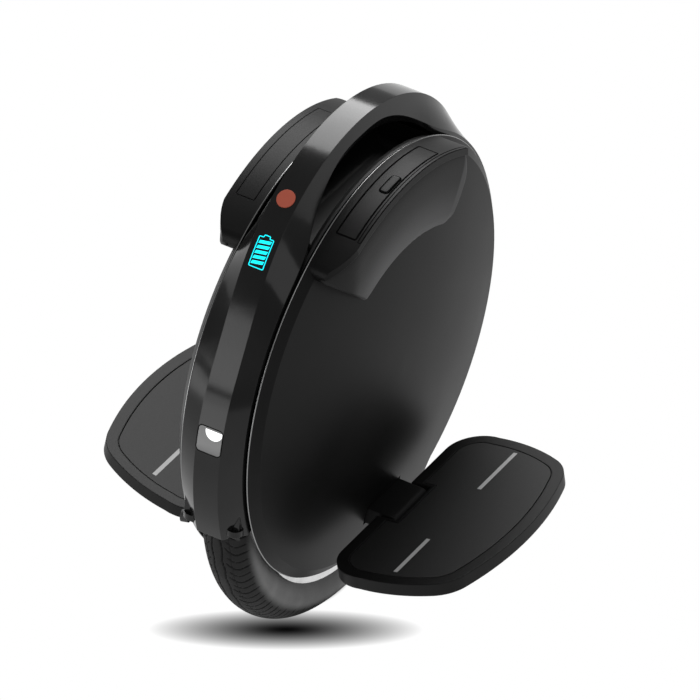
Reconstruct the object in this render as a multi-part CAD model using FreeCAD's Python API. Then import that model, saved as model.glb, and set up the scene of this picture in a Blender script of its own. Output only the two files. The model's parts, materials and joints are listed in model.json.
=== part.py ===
import FreeCAD, Part
import math
import os
from FreeCAD import Placement, Rotation, Vector

os.makedirs("parts", exist_ok=True)

# Sizes in millimetres. X points forward, Y to the left, Z up; the tyre stands on Z = 0.

# Fits
seat_gap = 0.3
run_gap = 0.05
thin_gap = 0.1

# Tyre and inner tube
tyre_radius = 200.0
tyre_half_width = 25.0
tyre_section_height = 40.0
tyre_widest_drop = 25.0
tyre_shoulder_drop = 9.5
tyre_shoulder_inset = 5.5
tyre_heel_rise = 1.0
tyre_heel_inset = 3.5
tyre_bead_inset = 0.8
tyre_wall = 4.0
tread_thickness = 7.0
tread_groove_width = 3.0
tread_groove_depth = 2.5
tread_groove_offset = 7.0
tube_slack = 2.1
tube_wall = 1.5

# Rim, which is also the outer ring of the motor
rim_flange_inset = 2.5
rim_flange_height = 8.2
rim_flange_thickness = 2.2
rim_seat_inset = 6.2
rim_seat_depth = 5.8
rim_shoulder_step = 4.0
rim_yoke_inset = 2.5
rim_yoke_thickness = 14.0
valve_radius = 3.0
valve_inner_half_width = 6.0
valve_sink = 1.5
valve_overhang = 3.0
valve_outer_drop = 1.0

# Motor
magnet_count = 24
magnet_fill_share = 0.86
magnet_thickness = 4.0
magnet_inset = 6.0
air_gap = 1.2
tooth_pitch = 21.8
tooth_width = 8.0
tooth_height = 28.7
tooth_shoe_gap = 8.5
tooth_shoe_thickness = 4.0
core_ring_thickness = 12.0
stator_inset = 8.0
winding_thickness = 4.0
winding_inset = 3.0
hub_inset = 4.0
hub_hole_count = 6
hub_hole_share = 0.19
bell_seat = 8.0
bell_thickness = 4.0
bell_boss_wall = 6.0
bell_boss_gap = 1.0
bell_lip = 1.0
bearing_ball_room = 4.0
bearing_width = 12.0
bearing_race = 3.5
ball_count = 11
bell_screw_count = 8
bell_screw_radius = 2.5
bell_screw_head_radius = 4.5
bell_screw_head = 2.5
bell_screw_length = 12.0
bell_screw_inset = 4.0

# Axle and nuts
axle_end_radius = 8.0
axle_bearing_step = 2.0
axle_hub_step = 5.0
axle_hub_gap = 1.0
axle_nut_wall = 5.5
axle_nut_height = 8.0
axle_nut_sides = 6
axle_reach = 2.5

# Frame plates, fender and finger well
shell_rise = 65.5
plate_gap = 3.0
plate_thickness = 2.5
plate_inset = 2.0
plate_hole_gap = 4.0
fender_gap = 4.5
fender_thickness = 2.0
fender_overrun_deg = 2.0
well_end_inset = 105.0
well_wall = 2.5
well_floor_gap = 8.0
well_corner = 9.0

# Glossy spine with the handle
crown_deg = 90.0
spine_low_drop = 15.0
spine_low_margin = 13.5
spine_top_lift = 64.0
spine_top_inset = 23.0
spine_end_deg = -20.0
spine_cover_gap = 1.5
spine_facet_half_width = 12.5
spine_edge_margin = 4.0
spine_wall = 3.0
spine_hollow_drop = 17.0
spine_hollow_end_deg = 27.0
spine_station_count = 29
handle_start_deg = 56.0
handle_full_deg = 85.0
handle_half_width = 16.0
handle_side_rise = 9.0
handle_under_inset = 4.0
handle_hole_inset = 69.0
handle_thickness = 22.0
lug_radius = 8.0
lug_height = 6.0
lug_inset = 9.5
lug_deg = -18.0
lug_margin = 8.0

# Lamps
lamp_angle_deg = 11.6
lamp_height = 24.6
lamp_width = 24.6
lamp_gap = 0.4
lamp_corner = 4.0
lamp_lens_thickness = 4.0
lamp_body_depth = 14.0
lamp_body_margin = 1.0
projector_radius = 7.5
projector_depth = 7.0
lamp_board_thickness = 2.0

# Battery level display
display_angle_deg = 41.0
bar_count = 5
bar_pitch = 4.6
bar_height = 2.9
bar_width = 11.3
bar_slant = 1.8
bar_lean = 0.8
bar_depth = 2.5
display_board_thickness = 1.6
display_room = 9.0

# Power button and lift switch
button_angle_deg = 57.1
button_radius = 8.5
button_height = 5.0
button_proud = 0.4
button_travel = 1.4
switch_radius = 5.0
switch_height = 2.4
lift_radius = 6.5
lift_height = 5.0
lift_proud = 1.2
lift_travel = 1.5

# Side covers
cover_over_tyre = 5.0
cover_plate_gap = 2.0
cover_edge = 2.0
cover_chamfer_in = 9.0
cover_chamfer_rise = 6.5
cover_dome_rise = 22.5
cover_crown_flat = 4.0
cover_wall = 3.0
cover_lip_width = 4.0
cover_window_gap = 2.0

# Knee pads on the covers
knee_front_deg = 53.0
knee_rear_deg = 121.0
knee_front_low_shares = (0.265, 0.51)
knee_low_mid_shares = (-0.035, 0.605)
knee_rear_low_shares = (-0.37, 0.535)
knee_corner = 11.0
knee_top_rise = 3.5
knee_low_drop = 4.5
knee_low_inset = 89.0
knee_crown_rise = 4.0
knee_pad_thickness = 6.0
knee_groove = 0.5
knee_shelf = 6.5
knee_hollow_margin = 6.0
knee_swell = 1.2
knee_front_taper = 43.0
knee_front_round = 48.0
knee_front_turn_deg = 75.0
knee_rear_bevel = 12.0

# Trolley handle in the left shelf, and the matching panel on the right
panel_start_deg = 66.5
panel_end_deg = 105.0
panel_inset = 11.7
panel_outer_inset = 7.0
panel_depth = 11.4
panel_floor = 3.0
panel_gap = 0.6
trolley_spacing = 96.0
trolley_inset = 3.3
trolley_outer_wall = 0.5
trolley_mid_wall = 0.5
trolley_rod_radius = 2.4
trolley_low_drop = 22.0
trolley_top_drop = 30.5
trolley_step = 4.0
trolley_rod_sink = 4.0
trolley_foot_height = 10.0
trolley_foot_top_drop = 40.0
latch_deg = 85.5
latch_length = 24.0
latch_width = 8.0
latch_height = 6.0
latch_corner = 2.6
latch_proud = 1.2
latch_travel = 2.0
latch_inset = 1.5

# Pedals, hinge and hangers
pin_reach = 11.5
pin_drop = 86.0
pin_radius = 4.0
pin_inset = 2.0
pedal_tilt_deg = 10.5
pedal_half_length = 120.8
pedal_inner = 11.0
pedal_reach = 125.0
pedal_top = 9.0
pedal_thickness = 12.0
pedal_corner = 33.0
pedal_corner_end_deg = 6.0
pedal_side_mid_shares = (0.972, 0.50)
pedal_side_end_shares = (0.885, 0.745)
pedal_nose_mid_shares = (0.809, 0.841)
pedal_nose_end_shares = (0.70, 0.90)
pedal_border = 11.0
pedal_mat_thickness = 2.0
pedal_groove = 0.8
pedal_notch_gap = 3.0
pedal_notch_clear = 1.1
pedal_notch_border = 3.0
pedal_boss_wall = 4.7
pedal_boss_length = 16.0
pedal_pocket_wall = 8.0
pedal_skin = 5.0
pedal_rib_spacing = 80.0
pedal_rib_width = 5.0
pedal_hub_reach = 24.0
barrel_wall = 4.5
barrel_half_length = 26.0
hanger_inset = 1.0
hanger_thickness = 10.0
hanger_top_rise = 26.0
hanger_corner = 12.0
hanger_bolt_radius = 3.0
hanger_bolt_head_radius = 5.0
hanger_bolt_head = 3.5
hanger_bolt_spacing = 30.0
hanger_bolt_top_inset = 9.0
hanger_bolt_drop = 32.0

# Batteries, controller and leads
battery_gap = 0.2
battery_cover_gap = 2.0
battery_hanger_gap = 4.0
battery_left_inset = 60.0
battery_right_inset = 85.0
battery_right_end_inset = 110.0
battery_tube_gap = 2.0
battery_corner = 5.0
controller_tube_gap = 7.2
controller_end_inset = 57.0
controller_low_rise = 18.0
controller_height = 108.0
sink_thickness = 4.0
board_thickness = 1.6
board_margin = 4.0
capacitor_count = 3
capacitor_radius = 3.0
capacitor_length = 18.0
motor_lead_radius = 3.0
motor_lead_rise = -6.0
motor_lead_bend = 20.0
motor_lead_entry = 30.0
battery_lead_radius = 2.0
battery_lead_rise = 90.0

# Charge port on the right cover
port_inset = 22.0
port_deg = -28.0
port_gap = 0.4
socket_radius = 7.6
socket_depth = 7.0
socket_wall = 2.6
socket_flange_width = 1.4
socket_flange = 1.5
cap_overlap = 3.0
cap_thickness = 2.5
cap_plug = 2.0
cap_tab_run = 7.0
cap_tab_radius = 5.5
cap_tab_height = 7.0
cap_hinge_run = 2.0
cap_hinge_radius = 1.6
cap_hinge_length = 10.0

# Wheel, motor and axle places
axle_z = tyre_radius
tyre_widest_radius = tyre_radius - tyre_widest_drop
tyre_shoulder_radius = tyre_radius - tyre_shoulder_drop
tyre_shoulder_half_width = tyre_half_width - tyre_shoulder_inset
tyre_inner_crown = tyre_radius - tread_thickness
rim_flange_radius = tyre_radius - tyre_section_height
rim_flange_half_width = tyre_half_width - rim_flange_inset
rim_seat_radius = rim_flange_radius - rim_flange_height
rim_seat_half_width = rim_flange_half_width - rim_seat_inset
rim_shoulder_radius = rim_seat_radius - rim_seat_depth
rim_yoke_radius = rim_shoulder_radius - rim_shoulder_step
rim_yoke_half_width = rim_flange_half_width - rim_yoke_inset
rim_bore_radius = rim_yoke_radius - rim_yoke_thickness
tyre_heel_radius = rim_flange_radius + tyre_heel_rise
tyre_heel_half_width = rim_flange_half_width - tyre_heel_inset
tyre_bead_radius = rim_seat_radius + seat_gap
tyre_bead_half_width = rim_seat_half_width - tyre_bead_inset
tube_radius = min(tyre_inner_crown - rim_seat_radius, 2 * (tyre_half_width - tyre_wall)) / 2 - tube_slack
valve_outer_half_width = rim_flange_half_width + valve_overhang
valve_outer_radius = rim_yoke_radius - valve_outer_drop
magnet_outer_radius = rim_bore_radius - thin_gap
magnet_inner_radius = magnet_outer_radius - magnet_thickness
magnet_half_length = rim_yoke_half_width - magnet_inset
stator_radius = magnet_inner_radius - air_gap
core_ring_outer_radius = stator_radius - tooth_height
core_ring_inner_radius = core_ring_outer_radius - core_ring_thickness
tooth_count = int(2 * math.pi * core_ring_outer_radius / tooth_pitch)
tooth_shoe_width = 2 * math.pi * stator_radius / tooth_count - tooth_shoe_gap
stator_half_length = rim_yoke_half_width - stator_inset
winding_half_length = rim_yoke_half_width - winding_inset
hub_half_length = stator_half_length - hub_inset
bearing_bore_radius = axle_end_radius + axle_bearing_step
bearing_radius = bearing_bore_radius + 2 * bearing_race + bearing_ball_room
axle_hub_radius = bearing_bore_radius + axle_hub_step
hub_hole_radius = (core_ring_inner_radius - axle_hub_radius) * hub_hole_share
hub_hole_pitch_radius = (core_ring_inner_radius + axle_hub_radius) / 2
bell_radius = rim_bore_radius + bell_seat
bell_screw_pitch_radius = bell_radius - bell_screw_inset
bell_boss_radius = bearing_radius + bell_boss_wall
plate_inner_y = tyre_half_width + plate_gap
plate_outer_y = plate_inner_y + plate_thickness
bell_boss_reach = plate_inner_y - bell_boss_gap
bearing_outer_y = bell_boss_reach - bell_lip
bearing_inner_y = bearing_outer_y - bearing_width
axle_hub_half_length = bearing_inner_y - axle_hub_gap
axle_nut_radius = axle_end_radius + axle_nut_wall
hanger_outer_y = plate_outer_y + hanger_thickness
axle_half_length = hanger_outer_y + axle_nut_height + axle_reach

# Shell places
shell_z = axle_z + shell_rise
cover_radius = tyre_radius + cover_over_tyre
cover_rim_y = plate_outer_y + cover_plate_gap
cover_chamfer_radius = cover_radius - cover_chamfer_in
cover_dome_y = cover_rim_y + cover_edge + cover_chamfer_rise
cover_crown_y = cover_dome_y + cover_dome_rise
cover_sphere_radius = (cover_chamfer_radius ** 2 + cover_dome_rise ** 2) / (2 * cover_dome_rise)
plate_radius = cover_radius - plate_inset
plate_hole_radius = axle_end_radius + plate_hole_gap
fender_inner_radius = tyre_radius + fender_gap
fender_outer_radius = fender_inner_radius + fender_thickness
fender_half_width = plate_inner_y - thin_gap
wheel_well_radius = fender_outer_radius + seat_gap
well_half_length = cover_radius - well_end_inset
well_floor_z = axle_z + fender_outer_radius + well_floor_gap
spine_low_z = shell_z - spine_low_drop
spine_low_radius = cover_radius + spine_low_margin
spine_top_z = shell_z + spine_top_lift
spine_top_radius = cover_radius - spine_top_inset
spine_tangent_deg = math.degrees(
    math.asin((spine_low_radius - spine_top_radius) / (spine_top_z - spine_low_z)))
spine_edge_radius = cover_radius + spine_edge_margin
spine_half_width = cover_rim_y - spine_cover_gap
spine_clear_radius = plate_radius + thin_gap
handle_hole_radius = cover_radius - handle_hole_inset
handle_hole_rise = spine_top_lift + spine_top_radius - handle_thickness - handle_hole_radius
handle_side_depth = handle_thickness - handle_side_rise
handle_under_half_width = handle_half_width - handle_under_inset
lug_y = spine_half_width - lug_inset
lug_centre_radius = cover_radius + lug_margin
knee_top_y = cover_crown_y + knee_top_rise
knee_peak_y = knee_top_y + knee_crown_rise
knee_low_y = cover_crown_y - knee_low_drop
knee_low_radius = cover_radius - knee_low_inset
panel_inner_y = plate_outer_y + panel_inset
panel_outer_y = knee_top_y - panel_outer_inset
panel_inner_radius = cover_radius - panel_depth
panel_mid_deg = (panel_start_deg + panel_end_deg) / 2
trolley_y = panel_inner_y + trolley_inset
trolley_mid_radius = trolley_rod_radius + thin_gap + trolley_mid_wall
trolley_outer_radius = trolley_mid_radius + thin_gap + trolley_outer_wall
trolley_low_z = axle_z - trolley_low_drop
trolley_top_z = shell_z + cover_radius - trolley_top_drop
trolley_mid_x = cover_radius * math.cos(math.radians(panel_mid_deg))
trolley_xs = (trolley_mid_x - trolley_spacing / 2, trolley_mid_x + trolley_spacing / 2)

# Pedal, battery and port places
pin_y = cover_crown_y + pin_reach
pin_z = axle_z - pin_drop
barrel_radius = pin_radius + barrel_wall
pedal_boss_radius = pin_radius + pedal_boss_wall
pedal_notch_half_width = barrel_half_length + pedal_notch_gap
pedal_notch_reach = barrel_radius + pedal_notch_clear
pin_half_length = pedal_notch_half_width + pedal_boss_length - pin_inset
hanger_half_width = barrel_half_length - hanger_inset
hanger_bolt_rises = (-hanger_bolt_drop, hanger_top_rise - hanger_bolt_top_inset)
battery_low_z = axle_z + hanger_top_rise + battery_hanger_gap
battery_left_height = cover_radius - battery_left_inset
battery_right_height = cover_radius - battery_right_inset
battery_right_half_length = cover_radius - battery_right_end_inset
battery_inner_y = plate_outer_y + battery_gap
battery_corner_reach = math.hypot(battery_right_half_length, battery_low_z + battery_right_height - shell_z)
battery_outer_y = (cover_crown_y - cover_sphere_radius - battery_cover_gap
                   + math.sqrt((cover_sphere_radius - cover_wall) ** 2 - battery_corner_reach ** 2))
controller_start_x = trolley_xs[1] + trolley_outer_radius + controller_tube_gap
controller_length = cover_radius - controller_end_inset - controller_start_x
controller_low_z = axle_z + controller_low_rise
port_radius_at = cover_radius - port_inset
port_y = cover_crown_y - cover_sphere_radius + math.sqrt(cover_sphere_radius ** 2 - port_radius_at ** 2)
port_tilt_deg = math.degrees(math.asin(port_radius_at / cover_sphere_radius))
port_hole_radius = socket_radius + port_gap
socket_bore_radius = socket_radius - socket_wall
socket_flange_radius = socket_radius + socket_flange_width
cap_radius = port_hole_radius + cap_overlap
cap_tab_reach = cap_radius + cap_tab_run
cap_hinge_reach = cap_radius + cap_hinge_run

along_x = Vector(1, 0, 0)
along_y = Vector(0, 1, 0)
right_angle_deg = 90.0


# Small helpers

def rod(radius, start, end):
    return Part.makeCylinder(radius, (end - start).Length, start, end - start)


def pipe(outer, inner, start, end):
    return rod(outer, start, end).cut(rod(inner, start, end))


def block(x_range, y_range, z_range):
    corner = Vector(x_range[0], y_range[0], z_range[0])
    size = Vector(x_range[1], y_range[1], z_range[1]) - corner
    return Part.makeBox(size.x, size.y, size.z, corner)


def joined(shapes):
    first = shapes[0]
    return first.multiFuse(shapes[1:]).removeSplitter()


def mirrored(shape):
    return shape.mirror(Vector(0, 0, 0), along_y)


def both_sides(shape):
    return Part.makeCompound([shape, mirrored(shape)])


def spun(face, centre_z):
    return face.revolve(Vector(0, 0, centre_z), along_y, 360)


def section(points, centre_z):
    corners = [Vector(radius, y, centre_z) for radius, y in points]
    return Part.Face(Part.makePolygon(corners + corners[:1]))


def turned(points, centre_z):
    return spun(section(points, centre_z), centre_z)


def ring(outer, inner, low_y, high_y, centre_z):
    return turned([(inner, low_y), (outer, low_y), (outer, high_y), (inner, high_y)], centre_z)


def disc(radius, low_y, high_y, x, z):
    return rod(radius, Vector(x, low_y, z), Vector(x, high_y, z))


def sector(outer, inner, low_y, high_y, start_deg, end_deg, centre_z):
    points = [(inner, low_y), (outer, low_y), (outer, high_y), (inner, high_y)]
    centre = Vector(0, 0, centre_z)
    swept = section(points, centre_z).revolve(centre, -along_y, end_deg - start_deg)
    swept.rotate(centre, -along_y, start_deg)
    return swept


def around(shape, count, centre_z):
    copies = []
    for index in range(count):
        copy = shape.copy()
        copy.rotate(Vector(0, 0, centre_z), along_y, 360 * index / count)
        copies.append(copy)
    return copies


def polar(radius, angle_deg, y, centre_z):
    angle = math.radians(angle_deg)
    return Vector(radius * math.cos(angle), y, centre_z + radius * math.sin(angle))


def facing(shape, radius, angle_deg, centre_z):
    # Local +Z turns to the outward direction at this angle; local Y stays.
    placed = shape.copy()
    spot = Placement(polar(radius, angle_deg, 0, centre_z), Rotation(along_y, right_angle_deg - angle_deg))
    placed.Placement = spot.multiply(shape.Placement)
    return placed


def arc(first, middle, last):
    return Part.Arc(first, middle, last).toShape()


def line(first, last):
    return Part.LineSegment(first, last).toShape()


def rounded_block(length, width, low, high, corner):
    solid = block((-length / 2, length / 2), (-width / 2, width / 2), (low, high))
    upright = [edge for edge in solid.Edges if abs(edge.tangentAt(0).z) > math.cos(math.radians(1))]
    return solid.makeFillet(corner, upright)


def save(name, shape):
    shape.exportStep(os.path.join("parts", name + ".step"))


# Wheel

def at_wheel(y, radius):
    return Vector(radius, y, axle_z)


def tyre():
    bead = tyre_bead_half_width
    inner_bead = bead - tyre_wall
    inner_shoulder = tyre_shoulder_half_width - tyre_wall
    inner_shoulder_radius = tyre_shoulder_radius - tyre_wall
    edges = [line(at_wheel(bead, tyre_bead_radius), at_wheel(inner_bead, tyre_bead_radius))]
    edges.append(line(at_wheel(-inner_bead, tyre_bead_radius), at_wheel(-bead, tyre_bead_radius)))
    for side in (1, -1):
        heel = at_wheel(side * tyre_heel_half_width, tyre_heel_radius)
        inner_heel = at_wheel(side * (tyre_heel_half_width - tyre_wall), tyre_heel_radius)
        edges.append(line(at_wheel(side * bead, tyre_bead_radius), heel))
        edges.append(line(at_wheel(side * inner_bead, tyre_bead_radius), inner_heel))
        edges.append(arc(heel, at_wheel(side * tyre_half_width, tyre_widest_radius),
                         at_wheel(side * tyre_shoulder_half_width, tyre_shoulder_radius)))
        edges.append(arc(inner_heel, at_wheel(side * (tyre_half_width - tyre_wall), tyre_widest_radius),
                         at_wheel(side * inner_shoulder, inner_shoulder_radius)))
    edges.append(arc(at_wheel(-tyre_shoulder_half_width, tyre_shoulder_radius),
                     at_wheel(0, tyre_radius),
                     at_wheel(tyre_shoulder_half_width, tyre_shoulder_radius)))
    edges.append(arc(at_wheel(-inner_shoulder, inner_shoulder_radius),
                     at_wheel(0, tyre_inner_crown),
                     at_wheel(inner_shoulder, inner_shoulder_radius)))
    outline = Part.Wire(Part.__sortEdges__(edges))
    body = spun(Part.Face(outline), axle_z)
    groove_floor = tyre_radius - tread_groove_depth
    for side in (1, -1):
        low = side * tread_groove_offset - tread_groove_width / 2
        body = body.cut(ring(tyre_radius, groove_floor, low, low + tread_groove_width, axle_z))
    return body


def inner_tube():
    middle = tyre_inner_crown - seat_gap - tube_radius
    centre = Vector(0, 0, axle_z)
    outer = Part.makeTorus(middle, tube_radius, centre, along_y)
    return outer.cut(Part.makeTorus(middle, tube_radius - tube_wall, centre, along_y))


def valve_line(radius):
    start = Vector(rim_seat_radius - valve_sink, valve_inner_half_width, axle_z)
    end = Vector(valve_outer_radius, valve_outer_half_width, axle_z)
    return rod(radius, start, end)


def wheel_rim():
    flange_in = rim_flange_half_width - rim_flange_thickness
    half = [(rim_seat_radius, rim_seat_half_width), (rim_flange_radius, flange_in),
            (rim_flange_radius, rim_flange_half_width), (rim_shoulder_radius, rim_flange_half_width),
            (rim_yoke_radius, rim_yoke_half_width), (rim_bore_radius, rim_yoke_half_width)]
    other = [(radius, -y) for radius, y in reversed(half)]
    return turned(half + other, axle_z).cut([valve_line(valve_radius + thin_gap)] + bell_screws(True))


def rotor_magnets():
    span = 360 / magnet_count * magnet_fill_share
    magnet = sector(magnet_outer_radius, magnet_inner_radius, -magnet_half_length, magnet_half_length,
                    0, span, axle_z)
    return Part.makeCompound(around(magnet, magnet_count, axle_z))


def bell_screws(hole):
    grown = thin_gap if hole else 0
    head_y = rim_yoke_half_width + bell_thickness
    spot = axle_z + bell_screw_pitch_radius
    shank = disc(bell_screw_radius + grown, head_y - bell_screw_length, head_y, 0, spot)
    head = disc(bell_screw_head_radius, head_y, head_y + bell_screw_head, 0, spot)
    screw = shank if hole else joined([shank, head])
    screws = around(screw, bell_screw_count, axle_z)
    return screws + [mirrored(one) for one in screws]


def motor_cover():
    plate = ring(bell_radius, bell_boss_radius, rim_yoke_half_width,
                 rim_yoke_half_width + bell_thickness, axle_z)
    boss = ring(bell_boss_radius, bearing_radius + thin_gap, bearing_inner_y, bell_boss_reach, axle_z)
    lip = ring(bearing_radius + thin_gap, bearing_radius - bearing_race, bearing_outer_y,
               bell_boss_reach, axle_z)
    return joined([plate, boss, lip]).cut(bell_screws(True))


def outer_race():
    return ring(bearing_radius, bearing_radius - bearing_race, bearing_inner_y,
                bearing_outer_y - thin_gap, axle_z)


def inner_race():
    inner_wall = bearing_bore_radius + bearing_race
    outer_wall = bearing_radius - bearing_race
    race = ring(inner_wall, bearing_bore_radius + run_gap, bearing_inner_y, bearing_outer_y, axle_z)
    ball_radius = (outer_wall - inner_wall) / 2 - thin_gap
    spot = Vector(0, (bearing_inner_y + bearing_outer_y) / 2, axle_z + (outer_wall + inner_wall) / 2)
    balls = around(Part.makeSphere(ball_radius, spot), ball_count, axle_z)
    return Part.makeCompound([race] + balls)


# Stator and axle

def tooth():
    shoe_low = stator_radius - tooth_shoe_thickness
    low = axle_z + (core_ring_outer_radius + core_ring_inner_radius) / 2
    stem = block((-tooth_width / 2, tooth_width / 2), (-stator_half_length, stator_half_length),
                 (low, axle_z + stator_radius))
    shoe = block((-tooth_shoe_width / 2, tooth_shoe_width / 2),
                 (-stator_half_length, stator_half_length),
                 (axle_z + shoe_low, axle_z + stator_radius))
    round_face = disc(stator_radius, -stator_half_length, stator_half_length, 0, axle_z)
    return joined([stem, shoe]).common(round_face)


def stator_core():
    back = ring(core_ring_outer_radius, core_ring_inner_radius, -stator_half_length,
                stator_half_length, axle_z)
    return joined([back] + around(tooth(), tooth_count, axle_z))


def stator_windings():
    low = axle_z + core_ring_outer_radius + seat_gap
    high = axle_z + stator_radius - tooth_shoe_thickness - seat_gap
    half = tooth_width / 2
    outer = block((-half - winding_thickness, half + winding_thickness),
                  (-winding_half_length, winding_half_length), (low, high))
    hole = block((-half - thin_gap, half + thin_gap),
                 (-stator_half_length - thin_gap, stator_half_length + thin_gap), (low, high))
    return Part.makeCompound(around(outer.cut(hole), tooth_count, axle_z))


def stator_hub():
    body = ring(core_ring_inner_radius - run_gap, axle_hub_radius + run_gap, -hub_half_length,
                hub_half_length, axle_z)
    hole = disc(hub_hole_radius, -hub_half_length, hub_half_length, 0, axle_z + hub_hole_pitch_radius)
    return body.cut(around(hole, hub_hole_count, axle_z))


def axle():
    hub = disc(axle_hub_radius, -axle_hub_half_length, axle_hub_half_length, 0, axle_z)
    seat = disc(bearing_bore_radius, -plate_inner_y, plate_inner_y, 0, axle_z)
    ends = disc(axle_end_radius, -axle_half_length, axle_half_length, 0, axle_z)
    return joined([hub, seat, ends])


def axle_nuts():
    start = Vector(0, hanger_outer_y, axle_z)
    corners = [start + Vector(axle_nut_radius * math.cos(2 * math.pi * index / axle_nut_sides), 0,
                              axle_nut_radius * math.sin(2 * math.pi * index / axle_nut_sides))
               for index in range(axle_nut_sides)]
    nut = Part.Face(Part.makePolygon(corners + corners[:1])).extrude(Vector(0, axle_nut_height, 0))
    nut = nut.cut(disc(axle_end_radius + run_gap, 0, axle_half_length, 0, axle_z))
    return both_sides(nut)


# Frame

def hanger_bolts(hole):
    grown = thin_gap if hole else 0
    bolts = []
    for rise in hanger_bolt_rises:
        for side in (1, -1):
            x = side * hanger_bolt_spacing / 2
            shank = disc(hanger_bolt_radius + grown, plate_inner_y, hanger_outer_y, x, axle_z + rise)
            head = disc(hanger_bolt_head_radius, hanger_outer_y, hanger_outer_y + hanger_bolt_head,
                        x, axle_z + rise)
            bolts.append(shank if hole else joined([shank, head]))
    return bolts


def frame_plate():
    plate = ring(plate_radius, 0, plate_inner_y, plate_outer_y, shell_z)
    plate = plate.cut(disc(plate_hole_radius, plate_inner_y, plate_outer_y, 0, axle_z))
    return plate.cut(hanger_bolts(True))


def fender():
    return sector(fender_outer_radius, fender_inner_radius, -fender_half_width, fender_half_width,
                  -fender_overrun_deg, 180 + fender_overrun_deg, axle_z)


def well_block(half_length, half_width, floor_z):
    solid = block((-half_length, half_length), (-half_width, half_width),
                  (floor_z, shell_z + cover_radius))
    low = [edge for edge in solid.Edges if edge.BoundBox.ZMax < floor_z + seat_gap]
    return solid.makeFillet(well_corner, low)


def finger_well():
    outer = well_block(well_half_length, fender_half_width, well_floor_z)
    inner = well_block(well_half_length - well_wall, fender_half_width - well_wall,
                       well_floor_z + well_wall)
    rounded = disc(plate_radius, -plate_inner_y, plate_inner_y, 0, shell_z)
    return outer.cut(inner).common(rounded)


# Spine and handle

def ray_radius(centre_rise, radius, angle_deg):
    # How far a ray from the shell centre runs to a circle whose centre lies above it.
    along = centre_rise * math.sin(math.radians(angle_deg))
    across = centre_rise * math.cos(math.radians(angle_deg))
    return along + math.sqrt(radius ** 2 - across ** 2)


def ray_angle(radius, angle_deg, centre_z):
    spot = polar(radius, angle_deg, 0, centre_z)
    return math.degrees(math.atan2(spot.z - shell_z, spot.x))


def spine_radius(angle_deg):
    # The side outline: a low circle and a top circle joined by straight tangents.
    raised = min(angle_deg, 180 - angle_deg)
    if raised < ray_angle(spine_low_radius, spine_tangent_deg, spine_low_z):
        return ray_radius(spine_low_z - shell_z, spine_low_radius, raised)
    if raised > ray_angle(spine_top_radius, spine_tangent_deg, spine_top_z):
        return ray_radius(spine_top_z - shell_z, spine_top_radius, raised)
    lift = (spine_low_z - shell_z) * math.sin(math.radians(spine_tangent_deg))
    return (spine_low_radius + lift) / math.cos(math.radians(raised - spine_tangent_deg))


def blend(start, end, share):
    return start + (end - start) * share


def spine_wire(angle_deg):
    # One section: middle facet, side facets and underside. It narrows towards the grip.
    raised = min(angle_deg, 180 - angle_deg)
    run = max(0, min(1, (raised - handle_start_deg) / (handle_full_deg - handle_start_deg)))
    rise_share = run * run * (3 - 2 * run)
    waist_share = 1 - (1 - run) ** 2
    top = spine_radius(angle_deg)
    grip_edge = spine_radius(crown_deg) - handle_side_depth
    edge = blend(spine_edge_radius, grip_edge, rise_share)
    side = blend(spine_half_width, handle_half_width, waist_share)
    under = blend(spine_half_width, handle_under_half_width, waist_share)
    hole = plate_radius - spine_wall
    if run > 0:
        hole = max(hole, ray_radius(handle_hole_rise, handle_hole_radius, raised))
    pairs = [(-spine_facet_half_width, top), (spine_facet_half_width, top), (side, edge),
             (under, hole), (-under, hole), (-side, edge)]
    corners = [polar(radius, angle_deg, y, shell_z) for y, radius in pairs]
    return Part.makePolygon(corners + corners[:1])


def spine_solid():
    span = 180 - 2 * spine_end_deg
    wires = []
    for index in range(spine_station_count):
        wires.append(spine_wire(spine_end_deg + span * index / (spine_station_count - 1)))
    return Part.makeLoft(wires, True, False)


def spine_hollow(start_deg, end_deg):
    side = spine_half_width - spine_wall
    top = spine_low_radius - spine_wall
    drop = spine_low_radius - spine_hollow_drop
    low = drop - spine_hollow_drop
    points = [(low, -side), (drop, -side), (top, -spine_facet_half_width),
              (top, spine_facet_half_width), (drop, side), (low, side)]
    centre = Vector(0, 0, spine_low_z)
    swept = section(points, spine_low_z).revolve(centre, -along_y, end_deg - start_deg)
    swept.rotate(centre, -along_y, start_deg)
    return swept


def lamp_block(grown, low, high):
    return rounded_block(lamp_height + 2 * grown, lamp_width + 2 * grown, low, high, lamp_corner)


def lamp_angle(front):
    return lamp_angle_deg if front else 180 - lamp_angle_deg


def lamp_cut(front):
    through = lamp_block(lamp_gap, -spine_hollow_drop, spine_hollow_drop)
    return facing(through, spine_low_radius, lamp_angle(front), spine_low_z)


def lamp_lens(front, whole):
    piece = facing(lamp_block(0, -lamp_lens_thickness, spine_hollow_drop), spine_low_radius,
                   lamp_angle(front), spine_low_z)
    return piece.common(whole)


def headlight_housing():
    low = -lamp_lens_thickness - lamp_body_depth
    high = -lamp_lens_thickness - thin_gap
    body = lamp_block(-lamp_body_margin, low, high)
    bore = rod(projector_radius + thin_gap, Vector(0, 0, high - projector_depth), Vector(0, 0, high))
    return facing(body.cut(bore), spine_low_radius, lamp_angle_deg, spine_low_z)


def headlight_projector():
    high = -lamp_lens_thickness - thin_gap
    low = high - projector_depth
    stub = rod(projector_radius, Vector(0, 0, low), Vector(0, 0, high - projector_depth / 2))
    bulge = Part.makeSphere(projector_radius, Vector(0, 0, low - thin_gap))
    bulge = bulge.common(rod(projector_radius, Vector(0, 0, low), Vector(0, 0, high)))
    return facing(joined([stub.common(bulge), bulge]), spine_low_radius, lamp_angle_deg, spine_low_z)


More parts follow.
